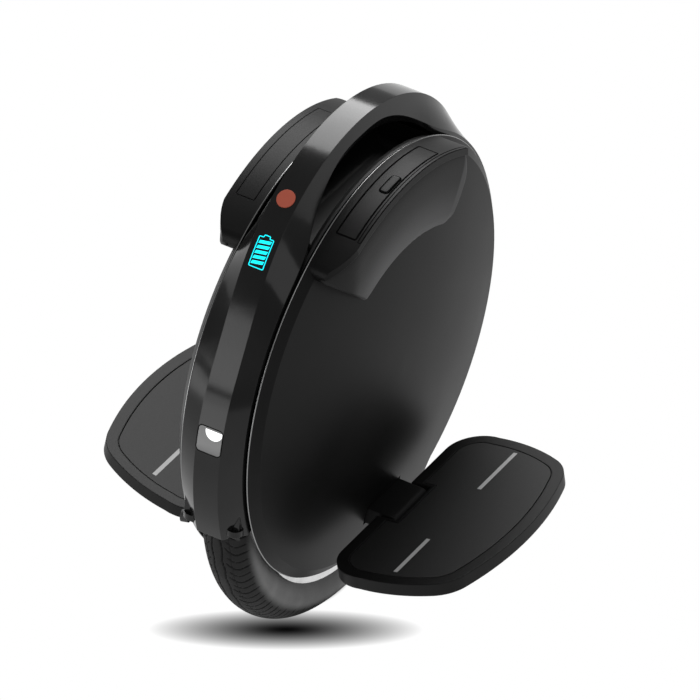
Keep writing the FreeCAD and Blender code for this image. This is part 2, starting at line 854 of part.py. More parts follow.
def tail_light_board():
    high = -lamp_lens_thickness - thin_gap
    board = lamp_block(-lamp_body_margin, high - lamp_board_thickness, high)
    return facing(board, spine_low_radius, 180 - lamp_angle_deg, spine_low_z)


def charge_bar(low, high):
    # A slanting bar with leaning ends.
    corners = []
    for down, left in ((-1, -1), (1, -1), (1, 1), (-1, 1)):
        x = (down * bar_height - left * bar_slant) / 2
        y = (left * bar_width - down * bar_lean) / 2
        corners.append(Vector(x, y, low))
    face = Part.Face(Part.makePolygon(corners + corners[:1]))
    return face.extrude(Vector(0, 0, high - low))


def bar_angle(index):
    arc_length = (index - (bar_count - 1) / 2) * bar_pitch
    return display_angle_deg - math.degrees(arc_length / spine_top_radius)


def charge_bars(whole):
    bars = []
    for index in range(bar_count):
        bar = facing(charge_bar(-bar_depth, spine_hollow_drop), spine_top_radius, bar_angle(index),
                     spine_top_z)
        bars.append(bar.common(whole))
    return bars


def display_space(low, high):
    length = bar_count * bar_pitch
    return facing(block((-length / 2, length / 2), (-bar_width / 2, bar_width / 2), (low, high)),
                  spine_top_radius, display_angle_deg, spine_top_z)


def display_board():
    high = -bar_depth - bar_height / 2
    return display_space(high - display_board_thickness, high)


def display_pocket():
    high = -bar_depth - bar_height / 2
    return display_space(high - display_room, high)


def button_stack(radius, low, high):
    return facing(rod(radius, Vector(0, 0, low), Vector(0, 0, high)), spine_top_radius,
                  button_angle_deg, spine_top_z)


def power_button():
    return button_stack(button_radius, button_proud - button_height, button_proud)


def switch_top():
    return button_proud - button_height - button_travel - thin_gap


def power_switch():
    return button_stack(switch_radius, switch_top() - switch_height, switch_top())


def button_pocket():
    return button_stack(button_radius + thin_gap, switch_top() - switch_height, button_height)


def handle_under_z():
    return shell_z + handle_hole_rise + handle_hole_radius


def lift_button():
    low = handle_under_z() - lift_proud
    return rod(lift_radius, Vector(0, 0, low), Vector(0, 0, low + lift_height))


def lift_pocket():
    low = handle_under_z() - lift_proud
    top = low + lift_height + lift_travel + thin_gap
    return rod(lift_radius + thin_gap, Vector(0, 0, low), Vector(0, 0, top))


def spine_lugs(radius, low, high):
    # Small round lugs at the lower ends of the side facets.
    lugs = []
    for angle in (lug_deg, 180 - lug_deg):
        for side in (1, -1):
            spot = polar(lug_centre_radius, angle, side * lug_y, shell_z)
            lugs.append(rod(radius, spot + Vector(0, 0, low), spot + Vector(0, 0, high)))
    return lugs


def handle_spine(whole):
    reach = spine_half_width + spine_wall
    half_lug = lug_height / 2
    tools = [disc(spine_clear_radius, -reach, reach, 0, shell_z),
             disc(wheel_well_radius, -plate_inner_y, plate_inner_y, 0, axle_z),
             spine_hollow(2 * spine_end_deg, spine_hollow_end_deg),
             spine_hollow(180 - spine_hollow_end_deg, 180 - 2 * spine_end_deg),
             lamp_cut(True), lamp_cut(False), button_pocket(), lift_pocket(), display_pocket()]
    body = joined([whole] + spine_lugs(lug_radius, -half_lug, half_lug))
    for tool in tools + charge_bars(whole):
        body = body.cut(tool)
    return body


# Side covers

def cover_cap(radius, rim_y, chamfer_radius, dome_y, crown_y, sphere_radius, edge):
    middle_radius = chamfer_radius / 2
    middle_y = crown_y - sphere_radius + math.sqrt(sphere_radius ** 2 - middle_radius ** 2)
    flat_y = crown_y - sphere_radius + math.sqrt(sphere_radius ** 2 - cover_crown_flat ** 2)
    points = [(cover_crown_flat, flat_y), (0, flat_y), (0, rim_y), (radius, rim_y), (radius, rim_y + edge),
              (chamfer_radius, dome_y)]
    spots = [Vector(across, y, shell_z) for across, y in points]
    edges = [line(first, last) for first, last in zip(spots, spots[1:])]
    edges.append(arc(spots[-1], Vector(middle_radius, middle_y, shell_z), spots[0]))
    return spun(Part.Face(Part.Wire(edges)), shell_z)


def cover_outside():
    return cover_cap(cover_radius, cover_rim_y, cover_chamfer_radius, cover_dome_y, cover_crown_y,
                     cover_sphere_radius, cover_edge)


def cover_inside():
    sphere_radius = cover_sphere_radius - cover_wall
    crown_y = cover_crown_y - cover_wall
    chamfer_radius = cover_chamfer_radius - cover_wall / 2
    dome_y = crown_y - sphere_radius + math.sqrt(sphere_radius ** 2 - chamfer_radius ** 2)
    rim_y = cover_rim_y - thin_gap
    edge = cover_edge / 2
    return cover_cap(cover_radius - cover_wall, rim_y, chamfer_radius, dome_y, crown_y, sphere_radius,
                     edge)


def knee_outline():
    low = cover_rim_y
    front = polar(cover_radius, knee_front_deg, low, shell_z)
    rear = polar(cover_radius, knee_rear_deg, low, shell_z)
    top = polar(cover_radius, (knee_front_deg + knee_rear_deg) / 2, low, shell_z)
    spots = [Vector(cover_radius * x, low, shell_z + cover_radius * z)
             for x, z in (knee_front_low_shares, knee_low_mid_shares, knee_rear_low_shares)]
    outline = Part.Wire([arc(front, top, rear), line(rear, spots[2]), arc(spots[2], spots[1], spots[0]),
                         line(spots[0], front)])
    slab = Part.Face(outline).extrude(Vector(0, knee_corner, 0))
    upright = [edge for edge in slab.Edges if edge.BoundBox.YLength > knee_corner / 2]
    rounded = slab.makeFillet(knee_corner, upright)
    return min(rounded.Faces, key=lambda face: face.BoundBox.YMax).OuterWire


def knee_block(inset, low_y, high_y):
    outline = knee_outline()
    if inset != 0:
        outline = outline.makeOffset2D(-inset)
    solid = Part.Face(outline).extrude(Vector(0, high_y - low_y, 0))
    solid.translate(Vector(0, low_y - cover_rim_y, 0))
    return solid


def knee_crown(drop):
    # Everything below the crowned side face of the pad, lowered by drop.
    low = cover_rim_y - cover_wall
    start = Vector(knee_low_radius / 2, knee_low_y - drop, shell_z)
    middle_radius = (knee_low_radius + cover_radius) / 2
    middle_y = (knee_low_y + knee_top_y) / 2 + knee_crown_rise - drop
    end = Vector(cover_radius + cover_wall, knee_top_y - drop, shell_z)
    shoulder = Vector(knee_low_radius, knee_low_y - drop, shell_z)
    inner_foot = Vector(knee_low_radius / 2, low, shell_z)
    outer_foot = Vector(cover_radius + cover_wall, low, shell_z)
    edges = [line(inner_foot, outer_foot), line(outer_foot, end),
             arc(end, Vector(middle_radius, middle_y, shell_z), shoulder), line(shoulder, start),
             line(start, inner_foot)]
    return spun(Part.Face(Part.Wire(edges)), shell_z)


def knee_taper(lift):
    # What the rounded front end of the pad and the bevel along its rear edge take away.
    front_x = cover_radius * math.cos(math.radians(knee_front_deg)) - knee_front_taper
    rear_x = cover_radius * math.cos(math.radians(knee_rear_deg)) + knee_rear_bevel
    start_y = knee_top_y + knee_swell + lift
    high = knee_peak_y + cover_wall
    arc_spots = []
    for turn in (0, knee_front_turn_deg / 2, knee_front_turn_deg):
        across = knee_front_round * math.sin(math.radians(turn))
        fall = knee_front_round * (1 - math.cos(math.radians(turn)))
        arc_spots.append(Vector(front_x + across, start_y - fall, shell_z))
    start, middle, end = arc_spots
    over_end = Vector(end.x, high, shell_z)
    over_start = Vector(start.x, high, shell_z)
    front = Part.Wire([arc(start, middle, end), line(end, over_end), line(over_end, over_start),
                       line(over_start, start)])
    fall = 2 * knee_rear_bevel
    corners = [Vector(rear_x, start_y, shell_z), Vector(rear_x - fall, start_y - fall, shell_z),
               Vector(rear_x - fall, high, shell_z), Vector(rear_x, high, shell_z)]
    rear = Part.makePolygon(corners + corners[:1])
    rise = Vector(0, 0, cover_radius + cover_wall)
    return [Part.Face(outline).extrude(rise) for outline in (front, rear)]


def knee_envelope(drop):
    return knee_crown(drop).cut(knee_taper(-drop))


def knee_pad():
    top = disc(cover_radius - knee_shelf - seat_gap, 0, knee_peak_y, 0, shell_z)
    slab = knee_block(0, cover_rim_y, knee_peak_y).common(knee_envelope(0))
    return slab.cut(knee_envelope(knee_pad_thickness)).common(top)


def knee_recess():
    top = disc(cover_radius - knee_shelf, 0, knee_peak_y, 0, shell_z)
    slab = knee_block(-knee_groove, cover_rim_y, knee_peak_y)
    return slab.cut(knee_envelope(knee_pad_thickness)).common(top)


def panel_sector(gap, depth):
    gap_deg = math.degrees(gap / cover_radius)
    return sector(cover_radius + gap, cover_radius - depth - gap, panel_inner_y - gap,
                  panel_outer_y + gap, panel_start_deg - gap_deg, panel_end_deg + gap_deg, shell_z)


def knee_hollow():
    room = disc(panel_inner_radius - panel_floor, 0, knee_top_y, 0, shell_z)
    slab = knee_block(knee_hollow_margin, plate_outer_y, knee_top_y)
    return slab.common(knee_envelope(knee_pad_thickness + cover_wall)).common(room)


def cover_lip():
    outer = cover_chamfer_radius
    return ring(outer, outer - cover_lip_width, plate_outer_y, cover_dome_y, shell_z)


def hanger_window():
    half = barrel_half_length + cover_window_gap
    high = barrel_radius + cover_window_gap
    return block((-half, half), (0, pin_y), (pin_z - high, pin_z + high))


def side_cover():
    knee = knee_block(0, cover_rim_y, knee_peak_y).common(knee_envelope(0))
    body = cover_outside().fuse(knee)
    body = body.cut([cover_inside(), knee_hollow()])
    below = knee_block(knee_hollow_margin, plate_outer_y, knee_top_y)
    lip = cover_lip().common(cover_outside().fuse(ring(cover_chamfer_radius, 0, plate_outer_y, cover_rim_y,
                                                      shell_z)))
    body = body.fuse(lip.cut(below))
    return body.cut([knee_recess(), panel_sector(panel_gap, panel_depth), hanger_window()])


def left_cover():
    passages = []
    for x in trolley_xs:
        passages.append(rod(trolley_mid_radius + thin_gap, Vector(x, trolley_y, trolley_top_z),
                            Vector(x, trolley_y, shell_z + cover_radius)))
    return side_cover().cut(passages)


def right_cover():
    hole = port_frame(rod(port_hole_radius, Vector(0, 0, -socket_depth), Vector(0, 0, socket_depth)))
    return mirrored(side_cover()).cut(hole)


def shelf_panel():
    return mirrored(panel_sector(0, panel_depth))


# Trolley

def trolley_rails():
    parts = []
    foot_top = trolley_top_z - trolley_foot_top_drop
    for x in trolley_xs:
        low = Vector(x, trolley_y, trolley_low_z)
        high = Vector(x, trolley_y, trolley_top_z - trolley_step)
        shell = rod(trolley_outer_radius, low, high)
        feet = [block((x - trolley_outer_radius, x + trolley_outer_radius), (plate_outer_y, trolley_y),
                      (z, z + trolley_foot_height)) for z in (trolley_low_z, foot_top)]
        bore = rod(trolley_outer_radius - trolley_outer_wall, low, high)
        parts.append(joined([shell] + feet).cut(bore))
    return Part.makeCompound(parts)


def trolley_mid_tubes():
    parts = []
    for x in trolley_xs:
        parts.append(pipe(trolley_mid_radius, trolley_mid_radius - trolley_mid_wall,
                          Vector(x, trolley_y, trolley_low_z + trolley_step),
                          Vector(x, trolley_y, trolley_top_z)))
    return Part.makeCompound(parts)


def rod_top(x):
    reach = panel_inner_radius + trolley_rod_sink
    return shell_z + math.sqrt(reach ** 2 - x ** 2)


def trolley_rods():
    parts = []
    for x in trolley_xs:
        parts.append(rod(trolley_rod_radius, Vector(x, trolley_y, trolley_low_z + 2 * trolley_step),
                         Vector(x, trolley_y, rod_top(x))))
    return Part.makeCompound(parts)


def latch_block(grown, low, height):
    middle_y = panel_outer_y - latch_inset - latch_width / 2
    solid = rounded_block(latch_length + 2 * grown, latch_width + 2 * grown, low, low + height,
                          latch_corner)
    solid.translate(Vector(0, middle_y, 0))
    return facing(solid, cover_radius, latch_deg, shell_z)


def trolley_latch():
    reach = sector(cover_radius + latch_proud, panel_inner_radius, panel_inner_y, panel_outer_y,
                   panel_start_deg, panel_end_deg, shell_z)
    return latch_block(0, -latch_height, 2 * latch_height).common(reach)


def trolley_grip():
    body = panel_sector(0, panel_depth)
    body = body.cut(latch_block(panel_gap, -latch_height - latch_travel, 2 * latch_height))
    sockets = []
    for x in trolley_xs:
        sockets.append(rod(trolley_rod_radius + run_gap, Vector(x, trolley_y, trolley_top_z),
                           Vector(x, trolley_y, rod_top(x) + thin_gap)))
    return body.cut(sockets)


# Pedals and hangers

def pedal_frame(shape):
    placed = shape.copy()
    placed.Placement = Placement(Vector(0, pin_y, pin_z), Rotation(along_x, pedal_tilt_deg))
    return placed


def pedal_outline():
    side_x = pedal_half_length - pedal_corner
    corner_y = pedal_corner - pedal_inner
    end = math.radians(pedal_corner_end_deg)
    middle = math.radians((pedal_corner_end_deg - right_angle_deg) / 2)

    def spot(side, x, y):
        return Vector(side * x, y, 0)

    def shared(side, shares):
        return spot(side, pedal_half_length * shares[0], pedal_reach * shares[1])

    edges = [line(spot(-1, side_x, -pedal_inner), spot(1, side_x, -pedal_inner))]
    for side in (1, -1):
        corner_end = spot(side, side_x + pedal_corner * math.cos(end),
                          corner_y + pedal_corner * math.sin(end))
        corner_mid = spot(side, side_x + pedal_corner * math.cos(middle),
                          corner_y + pedal_corner * math.sin(middle))
        edges.append(arc(spot(side, side_x, -pedal_inner), corner_mid, corner_end))
        edges.append(arc(corner_end, shared(side, pedal_side_mid_shares),
                         shared(side, pedal_side_end_shares)))
        edges.append(arc(shared(side, pedal_side_end_shares), shared(side, pedal_nose_mid_shares),
                         shared(side, pedal_nose_end_shares)))
    edges.append(arc(shared(1, pedal_nose_end_shares), Vector(0, pedal_reach, 0),
                     shared(-1, pedal_nose_end_shares)))
    return Part.Wire(Part.__sortEdges__(edges))


def pedal_slab(inset, low, high):
    outline = pedal_outline()
    if inset > 0:
        outline = outline.makeOffset2D(-inset)
    slab = Part.Face(outline).extrude(Vector(0, 0, high - low))
    slab.translate(Vector(0, 0, low))
    return slab


def notch_block(border, low, high):
    half = pedal_notch_half_width + border
    return block((-half, half), (-pedal_reach, pedal_notch_reach + border), (low, high))


def pedal_mat_slab(inset):
    floor = pedal_top - pedal_mat_thickness
    slab = pedal_slab(inset, floor, pedal_top)
    return slab.cut(notch_block(inset - pedal_border + pedal_notch_border, floor, pedal_top))


def pedal_mat():
    return pedal_frame(pedal_mat_slab(pedal_border + pedal_groove))


def pedal_pockets():
    low = pedal_top - pedal_thickness
    room = pedal_slab(pedal_pocket_wall, low, pedal_top - pedal_skin)
    half = pedal_rib_width / 2
    ribs = []
    for side in (1, -1):
        x = side * pedal_rib_spacing / 2
        ribs.append(block((x - half, x + half), (-pedal_reach, pedal_reach), (low, pedal_top)))
    ribs.append(block((-pedal_half_length, pedal_half_length), (-pedal_reach, pedal_hub_reach),
                      (low, pedal_top)))
    return room.cut(ribs)


def pedal():
    low = pedal_top - pedal_thickness
    body = pedal_slab(0, low, pedal_top)
    bosses = []
    for side in (1, -1):
        start = Vector(side * pedal_notch_half_width, 0, 0)
        bosses.append(rod(pedal_boss_radius, start, start + Vector(side * pedal_boss_length, 0, 0)))
    body = joined([body] + bosses)
    body = body.cut([notch_block(0, low - pedal_boss_radius, pedal_top), pedal_pockets()])
    hole = rod(pin_radius + run_gap, Vector(-pin_half_length - run_gap, 0, 0),
               Vector(pin_half_length + run_gap, 0, 0))
    return pedal_frame(body.cut([pedal_mat_slab(pedal_border), hole]))


def pedal_pin():
    return rod(pin_radius, Vector(-pin_half_length, pin_y, pin_z), Vector(pin_half_length, pin_y, pin_z))


def hanger():
    top = axle_z + hanger_top_rise
    low = pin_z - barrel_radius
    plate = block((-hanger_half_width, hanger_half_width), (plate_outer_y, hanger_outer_y), (low, top))
    upper = [edge for edge in plate.Edges
             if edge.BoundBox.YLength > seat_gap and edge.BoundBox.ZMin > top - seat_gap]
    plate = plate.makeFillet(hanger_corner, upper)
    arm = block((-barrel_half_length, barrel_half_length), (plate_outer_y, pin_y),
                (pin_z - barrel_radius, pin_z + barrel_radius))
    barrel = rod(barrel_radius, Vector(-barrel_half_length, pin_y, pin_z),
                 Vector(barrel_half_length, pin_y, pin_z))
    body = joined([plate, arm, barrel])
    bores = [disc(axle_end_radius + run_gap, 0, hanger_outer_y, 0, axle_z),
             rod(pin_radius + run_gap, Vector(-pin_half_length, pin_y, pin_z),
                 Vector(pin_half_length, pin_y, pin_z))]
    return body.cut(bores + hanger_bolts(True))


# Batteries, controller and leads

def softened_box(x_range, y_range, z_range, corner):
    solid = block(x_range, y_range, z_range)
    across = [edge for edge in solid.Edges if edge.BoundBox.YLength > corner]
    return solid.makeFillet(corner, across)


def battery_left():
    clear = trolley_outer_radius + battery_tube_gap
    return softened_box((trolley_xs[0] + clear, trolley_xs[1] - clear), (battery_inner_y, battery_outer_y),
                        (battery_low_z, battery_low_z + battery_left_height), battery_corner)


def battery_right():
    half = battery_right_half_length
    pack = softened_box((-half, half), (battery_inner_y, battery_outer_y),
                        (battery_low_z, battery_low_z + battery_right_height), battery_corner)
    return mirrored(pack)


def heat_sink():
    return block((controller_start_x, controller_start_x + controller_length),
                 (plate_outer_y, plate_outer_y + sink_thickness),
                 (controller_low_z, controller_low_z + controller_height))


def controller_board():
    low_y = plate_outer_y + sink_thickness
    high_y = low_y + board_thickness
    high_z = controller_low_z + controller_height - board_margin
    board = block((controller_start_x + board_margin, controller_start_x + controller_length - board_margin),
                  (low_y, high_y), (controller_low_z + board_margin, high_z))
    pieces = [board]
    for index in range(capacitor_count):
        x = controller_start_x + controller_length * (index + 1) / (capacitor_count + 1)
        pieces.append(block((x - capacitor_radius, x + capacitor_radius),
                            (high_y, high_y + 2 * capacitor_radius),
                            (high_z - capacitor_length - board_margin, high_z - board_margin)))
    return joined(pieces)


def motor_lead():
    y = plate_outer_y + motor_lead_radius + thin_gap
    z = axle_z + motor_lead_rise
    end_x = controller_start_x + motor_lead_entry
    start = Vector(hanger_half_width + thin_gap, y, z)
    bend_start = Vector(end_x - motor_lead_bend, y, z)
    top_z = controller_low_z - thin_gap
    first = rod(motor_lead_radius, start, bend_start)
    elbow = Part.Face(Part.Wire(Part.makeCircle(motor_lead_radius, bend_start, along_x)))
    elbow = elbow.revolve(bend_start + Vector(0, 0, motor_lead_bend), -along_y, right_angle_deg)
    last_start = Vector(end_x, y, z + motor_lead_bend)
    pieces = [first, elbow]
    if top_z > last_start.z + thin_gap:
        pieces.append(rod(motor_lead_radius, last_start, Vector(end_x, y, top_z)))
    return joined(pieces)


def battery_lead():
    y = plate_outer_y + battery_lead_radius + thin_gap
    z = axle_z + battery_lead_rise
    clear = trolley_outer_radius + battery_tube_gap
    return rod(battery_lead_radius, Vector(trolley_xs[1] - clear + thin_gap, y, z),
               Vector(controller_start_x - thin_gap, y, z))


# Charge port, built on its own axes: X away from the shell centre, Z out of the cover

def port_frame(shape):
    placed = shape.copy()
    angle = math.radians(port_deg)
    tilt = math.radians(port_tilt_deg)
    outward = Vector(math.cos(angle), 0, math.sin(angle))
    away = outward * math.cos(tilt) + along_y * math.sin(tilt)
    out = outward * math.sin(tilt) - along_y * math.cos(tilt)
    across = out.cross(away)
    spot = polar(port_radius_at, port_deg, -port_y, shell_z)
    frame = FreeCAD.Matrix(away.x, across.x, out.x, spot.x, away.y, across.y, out.y, spot.y,
                           away.z, across.z, out.z, spot.z)
    placed.Placement = Placement(frame).multiply(shape.Placement)
    return placed


def charge_socket():
    inner = -cover_wall - thin_gap
    sleeve = rod(socket_radius, Vector(0, 0, inner - socket_flange), Vector(0, 0, -thin_gap))
    flange = rod(socket_flange_radius, Vector(0, 0, inner - socket_flange), Vector(0, 0, inner))
    bore = rod(socket_bore_radius, Vector(0, 0, inner), Vector(0, 0, 0))
    return port_frame(joined([sleeve, flange]).cut(bore))


def charge_cap():
    low = seat_gap
    disc_part = rod(cap_radius, Vector(0, 0, low), Vector(0, 0, low + cap_thickness))
    plug = rod(socket_bore_radius - 2 * seat_gap, Vector(0, 0, -cap_plug), Vector(0, 0, low))
    strap = block((0, cap_tab_reach), (-cap_tab_radius, cap_tab_radius), (low, low + cap_thickness))
    knob = rod(cap_tab_radius, Vector(cap_tab_reach, 0, low), Vector(cap_tab_reach, 0, low + cap_tab_height))
    bridge = block((-cap_hinge_reach, 0), (-cap_hinge_length / 2, cap_hinge_length / 2),
                   (low, low + cap_thickness))
    hinge = rod(cap_hinge_radius, Vector(-cap_hinge_reach, -cap_hinge_length / 2, low + cap_hinge_radius),
                Vector(-cap_hinge_reach, cap_hinge_length / 2, low + cap_hinge_radius))
    return port_frame(joined([disc_part, plug, strap, knob, bridge, hinge]))


# The whole part

def build():
    whole = spine_solid()
    return {
        "tyre": tyre(),
        "inner_tube": inner_tube(),
        "wheel_rim": wheel_rim(),
        "rotor_magnets": rotor_magnets(),
        "motor_cover_left": motor_cover(),
        "motor_cover_right": mirrored(motor_cover()),
        "motor_cover_screws": Part.makeCompound(bell_screws(False)),
        "outer_race_left": outer_race(),
        "outer_race_right": mirrored(outer_race()),
        "valve_stem": valve_line(valve_radius),
        "inner_race_left": inner_race(),
        "inner_race_right": mirrored(inner_race()),
        "stator_core": stator_core(),
        "stator_windings": stator_windings(),
        "stator_hub": stator_hub(),
        "axle": axle(),
        "axle_nuts": axle_nuts(),
        "frame_plate_left": frame_plate(),
        "frame_plate_right": mirrored(frame_plate()),
        "fender": fender(),
        "finger_well": finger_well(),
        "handle_spine": handle_spine(whole),
        "headlight_lens": lamp_lens(True, whole),
        "headlight_housing": headlight_housing(),
        "headlight_projector": headlight_projector(),
        "tail_light_lens": lamp_lens(False, whole),
        "tail_light_board": tail_light_board(),
        "charge_bars": Part.makeCompound(charge_bars(whole)),
        "display_board": display_board(),
        "power_button": power_button(),
        "power_switch": power_switch(),
        "lift_button": lift_button(),
        "cover_left": left_cover(),
        "cover_right": right_cover(),
        "knee_pad_left": knee_pad(),
        "knee_pad_right": mirrored(knee_pad()),
        "shelf_panel_right": shelf_panel(),
        "trolley_rails": trolley_rails(),
        "trolley_mid_tubes": trolley_mid_tubes(),
        "trolley_rods": trolley_rods(),
        "trolley_grip": trolley_grip(),
        "trolley_latch": trolley_latch(),
        "hanger_left": hanger(),
        "hanger_right": mirrored(hanger()),
        "hanger_bolts": Part.makeCompound([both_sides(bolt) for bolt in hanger_bolts(False)]),
        "pedal_pin_left": pedal_pin(),
        "pedal_pin_right": mirrored(pedal_pin()),
        "pedal_left": pedal(),
        "pedal_right": mirrored(pedal()),
        "pedal_mat_left": pedal_mat(),
        "pedal_mat_right": mirrored(pedal_mat()),
        "battery_left": battery_left(),
        "battery_right": battery_right(),
        "heat_sink": heat_sink(),
        "controller_board": controller_board(),
        "motor_lead": motor_lead(),
        "battery_lead": battery_lead(),
        "charge_socket": charge_socket(),
        "charge_cap": charge_cap(),
    }


for part_name, part_shape in build().items():
    save(part_name, part_shape)
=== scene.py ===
import json
import math

import bpy
import numpy as np
from mathutils import Matrix, Vector


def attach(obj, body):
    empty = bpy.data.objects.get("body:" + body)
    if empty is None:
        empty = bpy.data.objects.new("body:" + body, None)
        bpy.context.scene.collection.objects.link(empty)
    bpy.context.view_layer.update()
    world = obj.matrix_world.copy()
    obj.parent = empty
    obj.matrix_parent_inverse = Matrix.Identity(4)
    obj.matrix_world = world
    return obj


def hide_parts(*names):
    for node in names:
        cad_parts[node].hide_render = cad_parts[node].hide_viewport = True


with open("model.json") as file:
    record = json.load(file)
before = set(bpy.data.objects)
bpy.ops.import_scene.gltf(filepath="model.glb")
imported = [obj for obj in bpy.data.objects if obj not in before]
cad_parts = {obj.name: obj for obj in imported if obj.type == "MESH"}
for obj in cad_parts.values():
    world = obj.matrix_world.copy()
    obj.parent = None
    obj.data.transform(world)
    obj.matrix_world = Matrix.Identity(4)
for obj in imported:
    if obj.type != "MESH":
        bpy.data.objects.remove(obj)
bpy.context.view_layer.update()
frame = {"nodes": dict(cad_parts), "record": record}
scene = bpy.context.scene

# Places and sizes on the object are in millimetres: X forward, Y to the rider's left, Z up from the ground
MM = 0.001
SIDES = {"left": 1, "right": -1}
AXLE_Z, TYRE_RADIUS = 200.0, 200.0
SHELL_Z, COVER_RADIUS = 265.5, 205.0
TOP_CIRCLE_Z, TOP_CIRCLE_RADIUS = 329.5, 182.0
LOW_CIRCLE_Z, LOW_CIRCLE_RADIUS = 250.5, 218.5
DISPLAY_DEG, LAMP_DEG = 41.0, 11.6
PEDAL_PIN_Y, PEDAL_PIN_Z, PEDAL_TILT_DEG = 75.0, 114.0, 10.5


# Finishes

class Socket:
    """A node's output that takes part in Python sums."""

    def __init__(self, finish, socket):
        self.finish = finish
        self.socket = socket

    def maths(self, operation, first, second=0.0):
        return self.finish.node("ShaderNodeMath", {"operation": operation}, {0: first, 1: second})

    def __add__(self, other):
        return self.maths("ADD", self, other)

    __radd__ = __add__

    def __sub__(self, other):
        return self.maths("SUBTRACT", self, other)

    def __rsub__(self, other):
        return self.maths("SUBTRACT", other, self)

    def __mul__(self, other):
        return self.maths("MULTIPLY", self, other)

    __rmul__ = __mul__

    def __truediv__(self, other):
        return self.maths("DIVIDE", self, other)

    def __rtruediv__(self, other):
        return self.maths("DIVIDE", other, self)

    def __pow__(self, other):
        return self.maths("POWER", self, other)

    def __rpow__(self, other):
        return self.maths("POWER", other, self)

    def __abs__(self):
        return self.maths("ABSOLUTE", self)

    def at_least(self, other):
        return self.maths("MAXIMUM", self, other)

    def at_most(self, other):
        return self.maths("MINIMUM", self, other)


def colour(tone):
    """A full colour from one grey tone or from red, green and blue; a node's output stays as it is."""
    if isinstance(tone, Socket):
        return tone
    red, green, blue = tone if isinstance(tone, tuple) else (tone, tone, tone)
    return (red, green, blue, 1.0)


class Finish:
    """One procedural finish, named for what it covers."""

    def __init__(self, name, **constants):
        self.name = name
        self.material = bpy.data.materials.new(name)
        self.material.use_nodes = True
        self.tree = self.material.node_tree
        self.shader = self.tree.nodes["Principled BSDF"]
        self.set(constants)

    def feed(self, socket, value):
        if isinstance(value, Socket):
            self.tree.links.new(value.socket, socket)
        else:
            socket.default_value = value

    def node(self, kind, settings, inputs, out=0):
        made = self.tree.nodes.new(kind)
        for key, value in settings.items():
            setattr(made, key, value)
        for key, value in inputs.items():
            self.feed(made.inputs[key], value)
        return Socket(self, made.outputs[out])

    def set(self, values):
        for key, value in values.items():
            self.feed(self.shader.inputs[key.replace("_", " ")], value)

    def place(self):
        return self.node("ShaderNodeTexCoord", {}, {}, "Object")

    def axes(self):
        """How far forward, to the left and up a spot lies, in millimetres."""
        spot = self.place()
        return [self.node("ShaderNodeSeparateXYZ", {}, {0: spot}, axis) / MM for axis in range(3)]

    def noise(self, per_metre, detail=3.0, stretch=None):
        spot = self.place()
        if stretch:
            spot = self.node("ShaderNodeVectorMath", {"operation": "MULTIPLY"}, {0: spot, 1: stretch})
        return self.node("ShaderNodeTexNoise", {}, {"Vector": spot, "Scale": per_metre, "Detail": detail})

    def step(self, value, low, high):
        """0 below low, 1 above high, smooth between; low may be the larger."""
        return self.node("ShaderNodeMapRange", {"interpolation_type": "SMOOTHSTEP"},
                         {"Value": value, "From Min": low, "From Max": high})

    def between(self, value, low, high, soft):
        """1 from low to high, 0 outside, with soft ends."""
        return self.step(value, low - soft, low + soft) * self.step(value, high + soft, high - soft)

    def mix(self, mask, first, second):
        """The first colour where the mask is 0, the second where it is 1."""
        inputs = {0: mask, 6: colour(first), 7: colour(second)}
        return self.node("ShaderNodeMix", {"data_type": "RGBA"}, inputs, 2)

    def bump(self, height, depth, edge=0.0):
        """Relief of a depth, with edges that look rounded to a radius, both in millimetres."""
        inputs = {"Height": height, "Distance": depth * MM}
        if edge:
            inputs["Normal"] = self.node("ShaderNodeBevel", {"samples": 6}, {"Radius": edge * MM})
        self.set({"Normal": self.node("ShaderNodeBump", {}, inputs)})


def moulded(name, low, high, rough, grain=900.0, depth=0.02, edge=0.4, specular=0.5, spread=0.08):
    """Moulded plastic or powder coat: fine grain per metre, cloudy colour, rounded edges."""
    made = Finish(name, Specular_IOR_Level=specular)
    fine = made.noise(grain)
    cloud = made.noise(14.0, detail=4.0)
    made.set({"Base Color": made.mix(made.step(cloud, 0.3, 0.7), low, high),
              "Roughness": rough + (cloud - 0.5) * spread + (fine - 0.5) * spread})
    made.bump(fine, depth, edge)
    return made


def metal(name, low, high, rough, stretch):
    """Turned or drawn metal with fine lines along one way."""
    made = Finish(name, Metallic=1.0)
    lines = made.noise(60.0, detail=4.0, stretch=stretch)
    made.set({"Base Color": made.mix(made.step(lines, 0.3, 0.7), low, high),
              "Roughness": rough + (lines - 0.5) * 0.2})
    made.bump(lines, depth=0.02, edge=0.3)
    return made


def lit(name, tone, strength, rough):
    """A lamp or a lit sign behind its clear front."""
    made = Finish(name, Roughness=rough, Emission_Strength=strength)
    cloud = made.noise(400.0)
    shade = made.mix(made.step(cloud, 0.2, 0.8), tuple(0.9 * part for part in tone), tone)
    made.set({"Base Color": shade, "Emission Color": shade})
    return made


def bead_gloss():
    made = Finish("bead_gloss", Metallic=1.0)
    cloud = made.noise(14.0, detail=4.0)
    made.set({"Base Color": made.mix(cloud, 0.2, 0.28), "Roughness": 0.24 + (cloud - 0.5) * 0.05})
    return made


# Painted light on the pad: paler towards its lower edge, fading out at its front end, and a painted
# highlight along a strip beside its rear edge
PAINTED_LIGHT_FROM, PAINTED_LIGHT_TO = 182.0, 122.0
PAINTED_LIGHT_FRONT_FROM, PAINTED_LIGHT_FRONT_TO = 120.0, 40.0
PAINTED_LIGHT_CLOUD = 6.0
PAD_REAR_X, PAD_REAR_Z, PAD_REAR_LEAN = -75.9, 109.7, 0.45
REAR_HIGHLIGHT_FROM, REAR_HIGHLIGHT_TO, REAR_HIGHLIGHT_SHARE = 13.0, 9.5, 0.75


